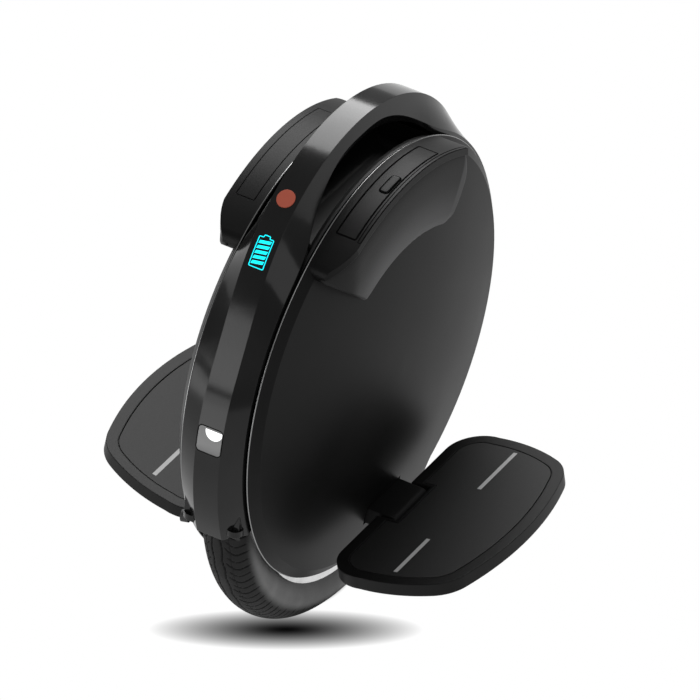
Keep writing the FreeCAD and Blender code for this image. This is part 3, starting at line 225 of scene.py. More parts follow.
def knee_foam():
    made = Finish("knee_foam", Specular_IOR_Level=0.2)
    grain = made.noise(1300.0)
    cloud = made.noise(20.0, detail=4.0)
    x, y, z = made.axes()
    over = z - SHELL_Z
    reach = (x * x + over * over) ** 0.5 + (cloud - 0.5) * PAINTED_LIGHT_CLOUD
    # Painted light: the paler lower part and the paler rear strip stand in for light falling on the pad, not
    # for wear
    painted_light = made.step(reach, PAINTED_LIGHT_FROM, PAINTED_LIGHT_TO) * made.step(x, PAINTED_LIGHT_FRONT_FROM, PAINTED_LIGHT_FRONT_TO)
    from_rear = (x - PAD_REAR_X + PAD_REAR_LEAN * (over - PAD_REAR_Z)) / math.hypot(1, PAD_REAR_LEAN)
    rear_highlight = made.step(from_rear, REAR_HIGHLIGHT_FROM, REAR_HIGHLIGHT_TO) * REAR_HIGHLIGHT_SHARE
    made.set({"Base Color": made.mix(painted_light.at_least(rear_highlight), 0.006, (0.06, 0.06, 0.0612)),
              "Roughness": 0.58 + (grain - 0.5) * 0.15})
    made.bump(grain, depth=0.04)
    return made


# The tread's black goes over into a paler sidewall between these radii; the sidewall's paler grey is painted
# light, standing in for the light that falls on it
WALL_LIGHT_FROM, WALL_LIGHT_TO = 187.5, 178.0


def tyre_rubber():
    made = Finish("tyre_rubber", Specular_IOR_Level=0.13)
    x, y, z = made.axes()
    grain = made.noise(700.0, detail=5.0)
    dust = made.step(made.noise(45.0, detail=4.0), 0.35, 0.75)
    over = z - AXLE_Z
    reach = (x * x + over * over) ** 0.5
    painted_wall_light = made.step(reach, WALL_LIGHT_FROM, WALL_LIGHT_TO)
    # The sidewall's paler grey is painted light; the dust that varies both tones is the rubber's own
    tread, side = made.mix(dust, 0.009, 0.015), made.mix(dust, 0.135, 0.165)
    made.set({"Base Color": made.mix(painted_wall_light, tread, side), "Roughness": 0.66 + (grain - 0.5) * 0.2})
    made.bump(grain, depth=0.05)
    return made


STRIPE_REACH, STRIPE_HALF, STRIPE_SIDE_SOFT = 52.0, 1.95, 0.15
STRIPE_FORE, STRIPE_AFT, STRIPE_END_SOFT = (45.0, 101.0), (-104.0, -41.0), 0.2


def grip_mat():
    """Fine grip sheet with the printed stripe along the middle of the pedal."""
    made = Finish("grip_mat", Specular_IOR_Level=0.24)
    x, y, z = made.axes()
    tilt = math.radians(PEDAL_TILT_DEG)
    reach = (abs(y) - PEDAL_PIN_Y) * math.cos(tilt) + (z - PEDAL_PIN_Z) * math.sin(tilt)
    fore, aft = (made.between(x, *ends, STRIPE_END_SOFT) for ends in (STRIPE_FORE, STRIPE_AFT))
    stripe = made.between(reach - STRIPE_REACH, -STRIPE_HALF, STRIPE_HALF, STRIPE_SIDE_SOFT) * (fore + aft)
    grain = made.noise(1100.0, detail=4.0)
    speck = made.noise(2600.0, detail=2.0)
    black = made.mix(made.step(grain, 0.3, 0.7), 0.008, 0.013)
    silver = made.mix(speck, 0.34, 0.46)
    made.set({"Base Color": made.mix(stripe, black, silver), "Roughness": 0.6 + (speck - 0.5) * 0.2})
    made.bump(grain, depth=0.08)
    return made


# The lit half moon: its centre, its round rim, its flat top and its cut-off side on the lens
MOON_LEFT, MOON_UP = 3.4, 10.0
MOON_RIM_FROM, MOON_RIM_TO = 8.9, 8.2
MOON_TOP_FROM, MOON_TOP_TO = 10.6, 10.2
MOON_SIDE_FROM, MOON_SIDE_TO = 11.6, 11.2
HAZE_LOW, HAZE_HIGH = -12.0, 9.0


def lamp_clear():
    """Frosted lens with the lit half moon in its upper corner."""
    made = Finish("lamp_clear", Roughness=0.16, Emission_Strength=1.6)
    x, left, z = made.axes()
    lean = math.radians(LAMP_DEG)
    up = (z - LOW_CIRCLE_Z) * math.cos(lean) - x * math.sin(lean)
    across, over = left - MOON_LEFT, up - MOON_UP
    rim = made.step((across * across + over * over) ** 0.5, MOON_RIM_FROM, MOON_RIM_TO)
    top = made.step(up, MOON_TOP_FROM, MOON_TOP_TO)
    moon = rim * top * made.step(left, MOON_SIDE_FROM, MOON_SIDE_TO)
    made.set({"Base Color": made.mix(made.step(up, HAZE_LOW, HAZE_HIGH), 0.11, 0.07),
              "Emission Color": made.mix(moon, 0.0, 1.0)})
    made.bump(made.noise(300.0), depth=0.01, edge=0.3)
    return made


finishes = {finish.name: finish for finish in (
    moulded("spine_gloss", 0.004, 0.007, 0.13, depth=0.003, edge=0.5, specular=0.26, spread=0.04),
    moulded("cover_satin", 0.0045, 0.006, 0.42, grain=1500.0, depth=0.012, edge=0.6, specular=0.085),
    # Near-black, almost unreflecting finish of the thin bands that are painted shade in gaps and grooves
    moulded("groove_shade_black", 0.001, 0.002, 0.9, edge=0.0, specular=0.02),
    moulded("frame_black", 0.010, 0.016, 0.45, grain=1200.0),
    moulded("well_black", 0.003, 0.005, 0.5, grain=1200.0, edge=0.6, specular=0.15),
    moulded("hanger_black", 0.006, 0.009, 0.45, grain=1700.0, depth=0.03, edge=1.6, specular=0.12),
    moulded("soft_rubber", 0.014, 0.022, 0.62, depth=0.03),
    moulded("dark_plastic", 0.02, 0.032, 0.5),
    moulded("lift_grey", 0.07, 0.10, 0.5),
    moulded("lamp_red", (0.30, 0.008, 0.008), (0.42, 0.015, 0.012), 0.14, grain=500.0, depth=0.01, edge=0.3),
    moulded("board_green", (0.012, 0.10, 0.035), (0.02, 0.16, 0.06), 0.4, grain=700.0, edge=0.3),
    moulded("button_red", (0.33, 0.065, 0.036), (0.37, 0.074, 0.041), 0.5, depth=0.01, edge=0.3,
            specular=0.3),
    moulded("battery_wrap", (0.01, 0.035, 0.16), (0.016, 0.06, 0.24), 0.35, grain=300.0, depth=0.05,
            edge=0.3),
    metal("rim_alloy", 0.6, 0.74, 0.34, (1.0, 14.0, 1.0)),
    metal("bright_steel", 0.5, 0.66, 0.28, (1.0, 1.0, 12.0)),
    metal("core_steel", 0.26, 0.38, 0.45, (1.0, 30.0, 1.0)),
    metal("magnet_nickel", 0.6, 0.74, 0.2, (4.0, 1.0, 4.0)),
    metal("copper_wire", (0.58, 0.27, 0.13), (0.76, 0.41, 0.22), 0.35, (8.0, 40.0, 8.0)),
    metal("valve_brass", (0.62, 0.47, 0.2), (0.78, 0.63, 0.33), 0.3, (1.0, 20.0, 1.0)),
    lit("lamp_white", (0.95, 0.97, 1.0), 0.6, 0.3),
    lit("bar_cyan", (0.0, 0.88, 1.0), 0.85, 0.3),
    bead_gloss(), knee_foam(), tyre_rubber(), grip_mat(), lamp_clear())}

# The fender shows beside the spine and is painted like it
OTHER_FINISH = {"fender": "spine_gloss"}


def paint(piece, finish_name):
    piece.data.materials.clear()
    piece.data.materials.append(finishes[finish_name].material)


for row in frame["record"]["subparts"]:
    paint(frame["nodes"][row["node"]], OTHER_FINISH.get(row["node"], row["material_slot"]))


# Shapes

def mesh_piece(name, points, faces, slot, body, smooth=True, finish=None):
    """A piece from points in millimetres; its finish may differ from its slot's."""
    mesh = bpy.data.meshes.new(name)
    mesh.from_pydata((np.array(points) * MM).tolist(), [], faces)
    mesh.polygons.foreach_set("use_smooth", [smooth] * len(mesh.polygons))
    mesh.update()
    piece = bpy.data.objects.new(name, mesh)
    scene.collection.objects.link(piece)
    paint(piece, finish or slot)
    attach(piece, body)
    return piece


def loop_faces(rows, columns, close_rows=False, close_columns=False):
    """Quads over a grid of rows by columns, closed round either way if asked."""
    faces = []
    for row in range(rows if close_rows else rows - 1):
        following = (row + 1) % rows
        for column in range(columns if close_columns else columns - 1):
            beside = (column + 1) % columns
            faces.append((row * columns + column, row * columns + beside,
                          following * columns + beside, following * columns + column))
    return faces


def facing_out(faces, side):
    """The same faces, turned over on the left side, where the outside lies the other way."""
    return [face[::-1] for face in faces] if side > 0 else faces


def circle_through(first, middle, last):
    """Centre and radius of the circle through three points of a plane."""
    (ax, ay), (bx, by), (cx, cy) = first, middle, last
    d = 2 * (ax * (by - cy) + bx * (cy - ay) + cx * (ay - by))
    a2, b2, c2 = ax * ax + ay * ay, bx * bx + by * by, cx * cx + cy * cy
    centre_x = (a2 * (by - cy) + b2 * (cy - ay) + c2 * (ay - by)) / d
    centre_y = (a2 * (cx - bx) + b2 * (ax - cx) + c2 * (bx - ax)) / d
    return centre_x, centre_y, math.hypot(ax - centre_x, ay - centre_y)


def arc_points(first, middle, last, count):
    """Points along the circle through three points of a plane."""
    centre_x, centre_y, radius = circle_through(first, middle, last)
    ends = np.unwrap([math.atan2(y - centre_y, x - centre_x) for x, y in (first, middle, last)])
    turns = np.linspace(ends[0], ends[2], count)
    return np.stack([centre_x + radius * np.cos(turns), centre_y + radius * np.sin(turns)], axis=1)


def lengths_along(line):
    """How far along a line of points each of them lies."""
    return np.concatenate([[0], np.cumsum(np.linalg.norm(np.diff(line, axis=0), axis=1))])


def points_at(line, lengths):
    """Points that lie the given lengths along a line of points."""
    steps = lengths_along(line)
    return np.stack([np.interp(lengths, steps, line[:, axis]) for axis in (0, 1)], axis=1)


# Tyre with its tread cut into the mesh; its section is given as places across it and radii

TREAD_HALF, TREAD_EDGE_RADIUS = 19.5, 190.5
WALL_BULGE, WALL_FOOT = (25.0, 175.0), (19.0, 161.0)
TYRE_INSIDE = [(15.5, 152.1), (11.5, 152.1), (15.0, 161.0), (20.5, 175.0), (15.5, 186.5)]
CROWN_POINTS, WALL_POINTS, TYRE_STEPS = 81, 24, 2480
CUTS_END_RADIUS = 178.0

# Wavy grooves beside the middle rib and finer ones further out: place, swing, half width and depth
WAVE_LENGTH = 26.0
RIB_GROOVE = (4.6, 1.3, 0.85, 2.2)
FINE_GROOVE = (11.6, 0.5, 0.45, 0.9)
GROOVE_STEEPNESS = 2.2

# Curved cuts across the shoulders, long and short by turns: start, end, half width and depth
CUT_COUNT, CUT_START_SOFT, CUT_END_SOFT = 62, 0.8, 1.2
LONG_CUT = (7.6, 23.6, 0.95, 2.4)
SHORT_CUT = (9.0, 22.6, 0.7, 1.9)
BRIDGE_AT, BRIDGE_HALF, BRIDGE_SOFT = 14.6, 0.3, 0.5
SWEEP_EDGE, SWEEP_LENGTH, SWEEP_WIDTH, SWEEP_BEND, SWEEP_LEAN = 17.5, 11.0, 10.0, 1.8, 0.25


def groove(distance, half_width):
    """1 in the middle of a groove, 0 outside, with sloping walls."""
    return np.clip(GROOVE_STEEPNESS - GROOVE_STEEPNESS * np.abs(distance) / half_width, 0, 1)


def tread_depth(turn, across):
    """How deep the tread is cut at a turn of the wheel and a place across it."""
    run, side = turn * TYRE_RADIUS, np.abs(across)
    pitch = 2 * math.pi * TYRE_RADIUS / CUT_COUNT
    wave = np.abs(((run / WAVE_LENGTH) % 1.0) * 2 - 1) - 0.5
    inward, outward = np.clip(SWEEP_EDGE - side, 0, None), np.clip(side - SWEEP_EDGE, 0, None)
    sweep = SWEEP_LENGTH * (inward / SWEEP_WIDTH) ** SWEEP_BEND + SWEEP_LEAN * outward

    def wavy(place, swing, half_width, depth):
        return groove(side - place - swing * wave, half_width) * depth

    def cut(offset, start, end, half_width, depth):
        span = np.clip((side - start) / CUT_START_SOFT, 0, 1) * np.clip((end - side) / CUT_END_SOFT, 0, 1)
        return groove((run - sweep + offset) % pitch - pitch / 2, half_width) * span * depth

    open_part = np.clip((np.abs(side - BRIDGE_AT) - BRIDGE_HALF) / BRIDGE_SOFT, 0, 1)
    return np.maximum.reduce([wavy(*RIB_GROOVE), wavy(*FINE_GROOVE), cut(pitch / 2, *LONG_CUT),
                              cut(0, *SHORT_CUT) * open_part])


def tyre_piece():
    edge = (TREAD_HALF, TREAD_EDGE_RADIUS)
    crown = arc_points((-TREAD_HALF, TREAD_EDGE_RADIUS), (0.0, TYRE_RADIUS), edge, CROWN_POINTS)
    left = np.concatenate([arc_points(edge, WALL_BULGE, WALL_FOOT, WALL_POINTS)[1:], TYRE_INSIDE])
    right = left[::-1] * np.array([-1.0, 1.0])
    profile = np.concatenate([right, crown, left])
    across, radius = profile[:, 0], profile[:, 1]
    turns = np.linspace(0, 2 * math.pi, TYRE_STEPS, endpoint=False)
    turn_grid, across_grid = np.meshgrid(turns, across, indexing="ij")
    cuttable = radius > CUTS_END_RADIUS
    cuttable[:len(TYRE_INSIDE)] = cuttable[-len(TYRE_INSIDE):] = False
    reach = radius - tread_depth(turn_grid, across_grid) * cuttable
    points = np.stack([reach * np.cos(turn_grid), across_grid, AXLE_Z + reach * np.sin(turn_grid)], axis=2)
    faces = loop_faces(TYRE_STEPS, len(profile), True, True)
    piece = mesh_piece("treaded_tyre", points.reshape(-1, 3), faces, "tyre_rubber", "wheel")
    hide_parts("tyre")


tyre_piece()


# Knee pads, soft moulded foam, drawn from the side about the middle of the covers

KNEE_TOP_RADIUS, KNEE_CORNER, KNEE_THICK = 198.1, 11.0, 5.6
KNEE_FRONT_DEG, KNEE_REAR_DEG = 53.0, 121.0
KNEE_LOW_SHARES = ((-0.37, 0.535), (-0.035, 0.605), (0.265, 0.51))
EDGE_POINTS, BEND_POINTS, NEAREST_STRIDE = 300, 61, 3
CUSHION_COLUMNS, CUSHION_ROWS, CUSHION_CROWDING = 141, 71, 0.85

# The crowned face runs out to these distances at these radii, and falls away at the front and the rear
FACE_ARC = ((116.0, 59.0), (160.5, 67.0), (208.0, 67.0))
FACE_OUTMOST, FACE_SOFT = 68.2, 0.6
FACE_FRONT_RADIUS, FACE_FRONT_START, FACE_FRONT_END = 48.0, 43.0, 47.0
FACE_REAR_START = 12.0

# Rounded borders: width and depth, and how far in all the face may drop
LOW_BORDER, END_BORDER, TOP_BORDER = (12.0, 3.0), (3.0, 2.2), (16.0, 2.4)
BORDER_DROP, FACE_CLEARANCE = 4.9, 0.1


def rim_spot(degrees):
    """A place on the cover's rim, seen from the side."""
    angle = math.radians(degrees)
    return COVER_RADIUS * np.array([math.cos(angle), math.sin(angle)])


def unit(run):
    return run / np.linalg.norm(run)


def knee_edges():
    """The pad's lower, front, upper and rear edges, with rounded corners between them."""
    low = [COVER_RADIUS * np.array(shares) for shares in KNEE_LOW_SHARES]
    front, rear = rim_spot(KNEE_FRONT_DEG), rim_spot(KNEE_REAR_DEG)
    middle = rim_spot((KNEE_FRONT_DEG + KNEE_REAR_DEG) / 2)
    edges = [arc_points(*low, EDGE_POINTS), np.linspace(low[2], front, EDGE_POINTS),
             arc_points(front, middle, rear, EDGE_POINTS), np.linspace(rear, low[0], EDGE_POINTS)]
    trims, middles = [], []
    for index, edge in enumerate(edges):
        corner = edge[-1]
        back, onward = unit(edge[-2] - corner), unit(edges[(index + 1) % 4][1] - corner)
        half = math.acos(float(back @ onward)) / 2
        trims.append(KNEE_CORNER / math.tan(half))
        middles.append(corner + unit(back + onward) * (KNEE_CORNER / math.sin(half) - KNEE_CORNER))
    kept = []
    for index, edge in enumerate(edges):
        end = lengths_along(edge)[-1] - trims[index]
        kept.append(points_at(edge, np.linspace(trims[index - 1], end, EDGE_POINTS)))
    bends = [arc_points(kept[index][-1], middles[index], kept[(index + 1) % 4][0], BEND_POINTS)
             for index in range(4)]
    half_bend = BEND_POINTS // 2
    whole = [np.concatenate([bends[index - 1][half_bend:], kept[index], bends[index][:half_bend + 1]])
             for index in range(4)]
    border = np.concatenate(whole[1:])
    reach = np.linalg.norm(border, axis=1)
    over = np.nonzero(reach > KNEE_TOP_RADIUS)[0]
    border = border * np.minimum(1, KNEE_TOP_RADIUS / reach)[:, None]
    return whole[0], border[:over[0] + 1], border[over[0]:over[-1] + 1], border[over[-1]:]


def knee_face_y(x, z):
    """How far out the pad's crowned face lies."""
    centre, level, radius = circle_through(*FACE_ARC)
    crowned = level + np.sqrt(radius ** 2 - (np.maximum(np.hypot(x, z), FACE_ARC[0][0]) - centre) ** 2)
    ahead = np.clip(x - rim_spot(KNEE_FRONT_DEG)[0] + FACE_FRONT_START, 0, FACE_FRONT_END)
    front = FACE_OUTMOST - FACE_FRONT_RADIUS + np.sqrt(FACE_FRONT_RADIUS ** 2 - ahead ** 2)
    rear = FACE_OUTMOST + x - rim_spot(KNEE_REAR_DEG)[0] - FACE_REAR_START
    return -FACE_SOFT * np.log(sum(np.exp(-face / FACE_SOFT) for face in (crowned, front, rear)))


def edge_round(distance, width, depth):
    """How far a rounded border drops at a distance from the edge."""
    away = 1 - np.clip(distance / width, 0, 1)
    return depth * (1 - np.sqrt(1 - away ** 2))


def crowded(count):
    """Shares from 0 to 1 that crowd towards both ends."""
    even = np.linspace(-1, 1, count)
    return (even * (1 - CUSHION_CROWDING) + np.sin(even * math.pi / 2) * CUSHION_CROWDING + 1) / 2


def at_shares(edge, shares):
    return points_at(edge, shares * lengths_along(edge)[-1])


def nearest(spots, edge):
    """How far each spot lies from a line of points."""
    return np.min(np.linalg.norm(spots[:, None, :] - edge[None, ::NEAREST_STRIDE, :], axis=2), axis=1)


def knee_cushion(side_name, side):
    along, up = crowded(CUSHION_COLUMNS), crowded(CUSHION_ROWS)
    lower, front, upper, rear = knee_edges()
    low, top = at_shares(lower, along)[None], at_shares(upper[::-1], along)[None]
    back, fore = at_shares(rear[::-1], up)[:, None], at_shares(front, up)[:, None]
    u, v = along[None, :, None], up[:, None, None]
    ends = ((1 - u) * (1 - v) * low[:, :1] + u * (1 - v) * low[:, -1:]
            + (1 - u) * v * top[:, :1] + u * v * top[:, -1:])
    flat = ((1 - v) * low + v * top + (1 - u) * back + u * fore - ends).reshape(-1, 2)
    x, z = flat[:, 0], flat[:, 1]
    from_ends = np.minimum(nearest(flat, rear), nearest(flat, front))
    drop = (edge_round(nearest(flat, lower), *LOW_BORDER) + edge_round(from_ends, *END_BORDER)
            + edge_round(KNEE_TOP_RADIUS - np.hypot(x, z), *TOP_BORDER))
    face_y = knee_face_y(x, z) - FACE_CLEARANCE
    layers = (face_y - np.minimum(drop, BORDER_DROP), face_y - KNEE_THICK)
    points = np.concatenate([np.stack([x, side * layer, SHELL_Z + z], axis=1) for layer in layers])
    count = CUSHION_ROWS * CUSHION_COLUMNS
    faces = loop_faces(CUSHION_ROWS, CUSHION_COLUMNS)
    faces += [tuple(count + corner for corner in face[::-1]) for face in faces]
    grid = np.arange(count).reshape(CUSHION_ROWS, CUSHION_COLUMNS)
    border = np.concatenate([grid[0, :-1], grid[:-1, -1], grid[-1, :0:-1], grid[:0:-1, 0]]).tolist()
    for first, second in zip(border, border[1:] + border[:1]):
        faces.append((second, first, count + first, count + second))
    piece = mesh_piece("knee_cushion_" + side_name, points, facing_out(faces, side), "knee_foam", "shell")
    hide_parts("knee_pad_" + side_name)


# Round bead along the rim of each cover

BEAD_RADIUS, BEAD_Y, BEAD_THICK = 204.9, 33.4, 0.7
BEAD_STEPS, BEAD_SIDES = 1000, 16


def cover_bead(side_name, side):
    turns = np.linspace(0, 2 * math.pi, BEAD_STEPS, endpoint=False)
    bends = np.linspace(0, 2 * math.pi, BEAD_SIDES, endpoint=False)
    turn, bend = np.meshgrid(turns, bends, indexing="ij")
    reach = BEAD_RADIUS + BEAD_THICK * np.cos(bend)
    points = np.stack([reach * np.cos(turn), side * (BEAD_Y + BEAD_THICK * np.sin(bend)),
                       SHELL_Z + reach * np.sin(turn)], axis=2).reshape(-1, 3)
    faces = facing_out(loop_faces(BEAD_STEPS, BEAD_SIDES, True, True), side)
    mesh_piece("cover_bead_" + side_name, points, faces, "cover_satin", "shell", finish="bead_gloss")


for side_name, side in SIDES.items():
    knee_cushion(side_name, side)
for side_name, side in SIDES.items():
    cover_bead(side_name, side)


# Thin bands that lie on the curved skin: the battery sign, and black bands of painted shade round the lamp,
# in the shelf's joints and along the pad's seam

BAND_SINK, BAND_STEP = 0.2, 1.5


def facet_places(centre_z, radius, degrees):
    """Turns (up, left, lift) on the spine's middle facet into a place."""
    def place(up, left, lift):
        angle = math.radians(degrees) + up / radius
        reach = radius + lift
        return reach * math.cos(angle), left, centre_z + reach * math.sin(angle)
    return place


def shelf_places(degrees, side):
    """Turns (back, out, lift) on a cover's shelf into a place."""
    def place(back, out, lift):
        angle = math.radians(degrees) + back / COVER_RADIUS
        reach = COVER_RADIUS + lift
        return reach * math.cos(angle), side * out, SHELL_Z + reach * math.sin(angle)
    return place


def ribbon(name, place, path, half_width, lift, slot, finish=None, body="shell"):
    """A thin closed band along a path of places on the skin, sunk a little into it."""
    count = len(path)
    points = []
    for index, (first, second) in enumerate(path):
        before, after = path[index - 1], path[(index + 1) % count]
        run = Vector((after[0] - before[0], after[1] - before[1])).normalized()
        for across, height in ((1, -BAND_SINK), (1, lift), (-1, lift), (-1, -BAND_SINK)):
            shift = across * half_width
            points.append(place(first - run.y * shift, second + run.x * shift, height))
    return mesh_piece(name, points, loop_faces(count, 4, True, True), slot, body, False, finish)


def divided(path):
    """The same closed path with points no further apart than a step."""
    made = []
    for first, second in zip(path, path[1:] + path[:1]):
        parts = max(1, math.ceil(math.dist(first, second) / BAND_STEP))
        made += [tuple(Vector(first).lerp(Vector(second), part / parts)) for part in range(parts)]
    return made


def rounded_path(corners, radius, steps=5):
    """A closed path with a rounded corner at each of its right-angled corners."""
    path = []
    for index, corner in enumerate(corners):
        spot = Vector(corner)
        back = (Vector(corners[index - 1]) - spot).normalized() * radius
        onward = (Vector(corners[(index + 1) % len(corners)]) - spot).normalized() * radius
        for step in range(steps + 1):
            turn = math.pi / 2 * step / steps
            path.append(tuple(spot + back * (1 - math.sin(turn)) + onward * (1 - math.cos(turn))))
    return divided(path)


def box_corners(low, high, left, right):
    return [(low, left), (high, left), (high, right), (low, right)]


SIGN_LOW, SIGN_HIGH, SIGN_TOP, SIGN_HALF, SIGN_NUB = -13.8, 13.0, 15.2, 7.1, 2.9
SIGN_CORNER, SIGN_LINE_HALF, SIGN_LIFT = 0.9, 0.4, 0.12


def battery_sign():
    one_side = [(SIGN_LOW, -SIGN_HALF), (SIGN_HIGH, -SIGN_HALF), (SIGN_HIGH, -SIGN_NUB),
                (SIGN_TOP, -SIGN_NUB)]
    path = rounded_path(one_side + [(up, -left) for up, left in one_side[::-1]], SIGN_CORNER)
    place = facet_places(TOP_CIRCLE_Z, TOP_CIRCLE_RADIUS, DISPLAY_DEG)
    ribbon("battery_outline", place, path, SIGN_LINE_HALF, SIGN_LIFT, "bar_cyan")


# Black band of painted shade in the gap round the lamp's lens
LAMP_SHADE_UP, LAMP_SHADE_LEFT, LAMP_SHADE_CORNER, LAMP_SHADE_HALF, LAMP_SHADE_LIFT = 12.55, 12.45, 4.0, 0.5, 0.04


def lamp_gap_shade():
    place = facet_places(LOW_CIRCLE_Z, LOW_CIRCLE_RADIUS, LAMP_DEG)
    path = rounded_path(box_corners(-LAMP_SHADE_UP, LAMP_SHADE_UP, -LAMP_SHADE_LEFT, LAMP_SHADE_LEFT), LAMP_SHADE_CORNER)
    ribbon("lamp_gap_shade", place, path, LAMP_SHADE_HALF, LAMP_SHADE_LIFT, "soft_rubber", "groove_shade_black")


# Black rings of painted shade in the shelf's panel joints and along the pad's seam, over the real gaps
PANEL_DEG, PANEL_OUT = (66.5, 105.0), (42.2, 60.0)
SEAM_DEG, SEAM_OUT = (66.0, 117.0), (63.9, 66.2)
PANEL_SHADE_HALF = {"left": 0.75, "right": 0.35}
SEAM_HALF, RING_CORNER, RING_LIFT = 0.4, 1.2, 0.06


def shelf_ring(name, side, degrees, outs, half_width):
    """A black ring of painted shade on a cover's shelf, just outside a stretch of its rim and of its width.
    """
    half = math.radians(degrees[1] - degrees[0]) / 2 * COVER_RADIUS + half_width
    corners = box_corners(-half, half, outs[0] - half_width, outs[1] + half_width)
    path = rounded_path(corners, RING_CORNER)
    place = shelf_places(sum(degrees) / 2, side)
    ribbon(name, place, path, half_width, RING_LIFT, "soft_rubber", "groove_shade_black")


battery_sign()
lamp_gap_shade()
for side_name, side in SIDES.items():
    shelf_ring("shelf_groove_shade_" + side_name, side, PANEL_DEG, PANEL_OUT, PANEL_SHADE_HALF[side_name])
shelf_ring("pad_seam_left", SIDES["left"], SEAM_DEG, SEAM_OUT, SEAM_HALF)


# Latch key of the trolley with rounded edges: each ring is set in from the outline and lifted off the shelf

LATCH_DEG, LATCH_LENGTH, LATCH_WIDTH, LATCH_OUT = 85.5, 24.0, 8.0, 54.5
LATCH_CORNER, LATCH_CORNER_STEPS, LATCH_POINTS = 2.6, 6, 96
LATCH_RINGS = ((0.0, -4.0), (0.0, 0.4), (0.15, 0.85), (0.5, 1.12), (1.0, 1.2))
SURROUND_GAP, SURROUND_HALF = 0.5, 0.7


def latch_outline(inset):
    long, wide, corner = LATCH_LENGTH / 2 - inset, LATCH_WIDTH / 2 - inset, LATCH_CORNER - inset
    corners = box_corners(-long, long, LATCH_OUT - wide, LATCH_OUT + wide)
    return rounded_path(corners, corner, LATCH_CORNER_STEPS)


def latch_key():
    place = shelf_places(LATCH_DEG, SIDES["left"])
    points = []
    for inset, lift in LATCH_RINGS:
        path = latch_outline(inset)
        closed = np.array(path + path[:1])
        lengths = np.linspace(0, lengths_along(closed)[-1], LATCH_POINTS, endpoint=False)
        points += [place(back, out, lift) for back, out in points_at(closed, lengths)]
    faces = loop_faces(len(LATCH_RINGS), LATCH_POINTS, False, True)
    faces += [tuple(range(LATCH_POINTS))[::-1], tuple(range(len(points) - LATCH_POINTS, len(points)))]
    piece = mesh_piece("latch_key", points, faces, "cover_satin", "trolley_latch")
    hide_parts("trolley_latch")
    # Black band of painted shade in the gap round the latch key
    ribbon("latch_surround", place, latch_outline(-SURROUND_GAP), SURROUND_HALF, RING_LIFT,
           "soft_rubber", "groove_shade_black", "trolley_top")


latch_key()


# Floor, light and camera: the places of the shadow painted on the floor are in millimetres, the others in
# metres

# The painted shadow: a dark ellipse turned across the view towards the viewer, and a smaller one about the
# wheel's contact
SHADOW_TURN_DEG, SHADOW_CENTRE, SHADOW_HALVES = 33.78, (-41.5, 66.8), (125.0, 30.0)
CONTACT_CENTRE, CONTACT_HALVES = (0.0, 0.0), (40.0, 16.0)
SHADOW_REACH, SHADOW_FALL = 1.03, 2.2
FLOOR_HALF, FLOOR_Z = 60.0, -0.0004
WORLD_STRENGTH = 0.36
CAMERA_AZIMUTH_DEG, CAMERA_ELEVATION_DEG, CAMERA_ROLL_DEG = 120.26, 36.836, 2.194
CAMERA_AWAY, CAMERA_RIGHT, CAMERA_UP = 8.79286, 0.011685, 0.04715
CAMERA_LENS_MM, CAMERA_SENSOR_MM = 514.286, 36.0


def soft_ellipse(across, deep, centre, halves):
    """0 in the middle of an ellipse on the floor, rising to 1 at its rim and beyond."""
    first = (across - centre[0]) / halves[0]
    second = (deep - centre[1]) / halves[1]
    away = (first * first + second * second) ** 0.5
    return (away * SHADOW_REACH).at_most(1.0) ** SHADOW_FALL


def studio_floor():
    """White floor with a soft shadow painted on it, dark under the wheel and towards the viewer."""
    corners = [(-FLOOR_HALF, -FLOOR_HALF), (FLOOR_HALF, -FLOOR_HALF), (FLOOR_HALF, FLOOR_HALF),
               (-FLOOR_HALF, FLOOR_HALF)]
    mesh = bpy.data.meshes.new("studio_floor")
    mesh.from_pydata([(x, y, FLOOR_Z) for x, y in corners], [], [(0, 1, 2, 3)])
    floor = bpy.data.objects.new("studio_floor", mesh)
    scene.collection.objects.link(floor)
    made = Finish("studio_floor")
    x, y, z = made.axes()
    turn = math.radians(SHADOW_TURN_DEG)
    across = y * math.cos(turn) - x * math.sin(turn)
    deep = x * math.cos(turn) + y * math.sin(turn)
    shadow = soft_ellipse(across, deep, SHADOW_CENTRE, SHADOW_HALVES)
    contact_shadow = soft_ellipse(x, y, CONTACT_CENTRE, CONTACT_HALVES)
    # Painted shadow: a near-black matt inside the ellipses, white light outside them
    painted_shadow_matt = made.node("ShaderNodeBsdfDiffuse", {}, {"Color": colour(0.012)})
    white = made.node("ShaderNodeEmission", {}, {"Color": colour(1.0), "Strength": 1.0})
    both = made.node("ShaderNodeMixShader", {}, {0: shadow * contact_shadow, 1: painted_shadow_matt, 2: white})
    made.feed(made.tree.nodes["Material Output"].inputs["Surface"], both)
    mesh.materials.append(made.material)


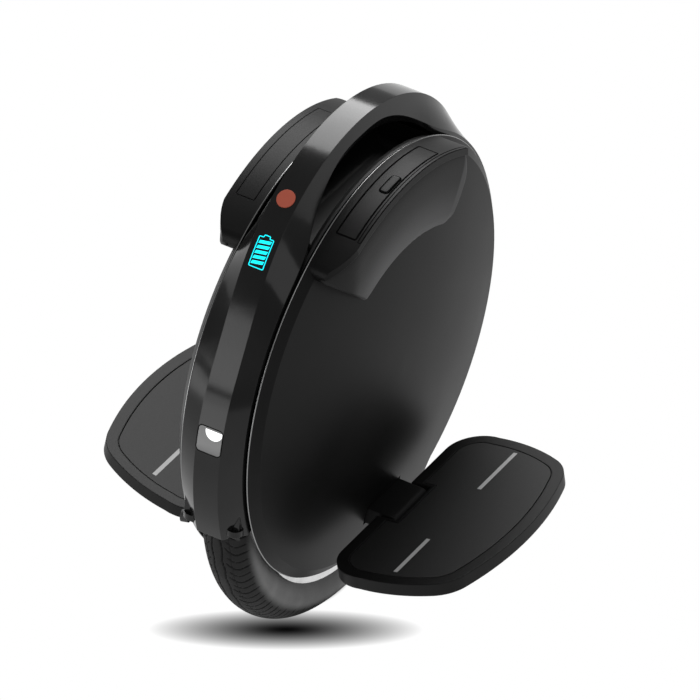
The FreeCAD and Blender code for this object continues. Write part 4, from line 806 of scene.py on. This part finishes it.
def studio_world():
    world = bpy.data.worlds.new("studio")
    scene.world = world
    world.use_nodes = True
    back = world.node_tree.nodes["Background"]
    back.inputs["Color"].default_value = colour(1.0)
    back.inputs["Strength"].default_value = WORLD_STRENGTH


def softbox(name, spot, target, width, height, radiance):
    light = bpy.data.lights.new(name, "AREA")
    light.shape = "RECTANGLE"
    light.size, light.size_y = width, height
    light.energy = radiance * math.pi * width * height
    lamp = bpy.data.objects.new(name, light)
    scene.collection.objects.link(lamp)
    lamp.location = spot
    lamp.rotation_euler = (Vector(target) - Vector(spot)).to_track_quat("-Z", "Y").to_euler()
    lamp.visible_camera = False


def photo_camera():
    azimuth, elevation, roll = (math.radians(turn) for turn in (CAMERA_AZIMUTH_DEG, CAMERA_ELEVATION_DEG,
                                                                CAMERA_ROLL_DEG))
    away = Vector((math.cos(elevation) * math.sin(azimuth), -math.cos(elevation) * math.cos(azimuth),
                   math.sin(elevation)))
    level = Vector((math.cos(azimuth), math.sin(azimuth), 0))
    upright = away.cross(level)
    right = level * math.cos(roll) + upright * math.sin(roll)
    up = upright * math.cos(roll) - level * math.sin(roll)
    data = bpy.data.cameras.new("photo_camera")
    data.lens, data.sensor_width = CAMERA_LENS_MM, CAMERA_SENSOR_MM
    camera = bpy.data.objects.new("photo_camera", data)
    scene.collection.objects.link(camera)
    spot = Vector((0, 0, AXLE_Z * MM)) + away * CAMERA_AWAY + right * CAMERA_RIGHT + up * CAMERA_UP
    camera.matrix_world = Matrix.Translation(spot) @ Matrix((right, up, away)).transposed().to_4x4()
    scene.camera = camera


studio_floor()
studio_world()
softbox("back_softbox", (-1.08, -0.72, 1.65), (0, 0, 0.4), width=1.3, height=1.3, radiance=9.0)
softbox("front_strip", (0.85, -0.42, 0.2), (0.15, 0, 0.3), width=0.5, height=0.4, radiance=2.6)
softbox("front_window", (1.25, -0.55, 0.585), (0.2, 0, 0.33), width=0.6, height=0.19, radiance=3.8)
softbox("left_softbox", (0.5, 1.5, 1.3), (0, 0, 0.3), width=1.2, height=1.2, radiance=1.2)
photo_camera()
scene.view_settings.view_transform = "Standard"
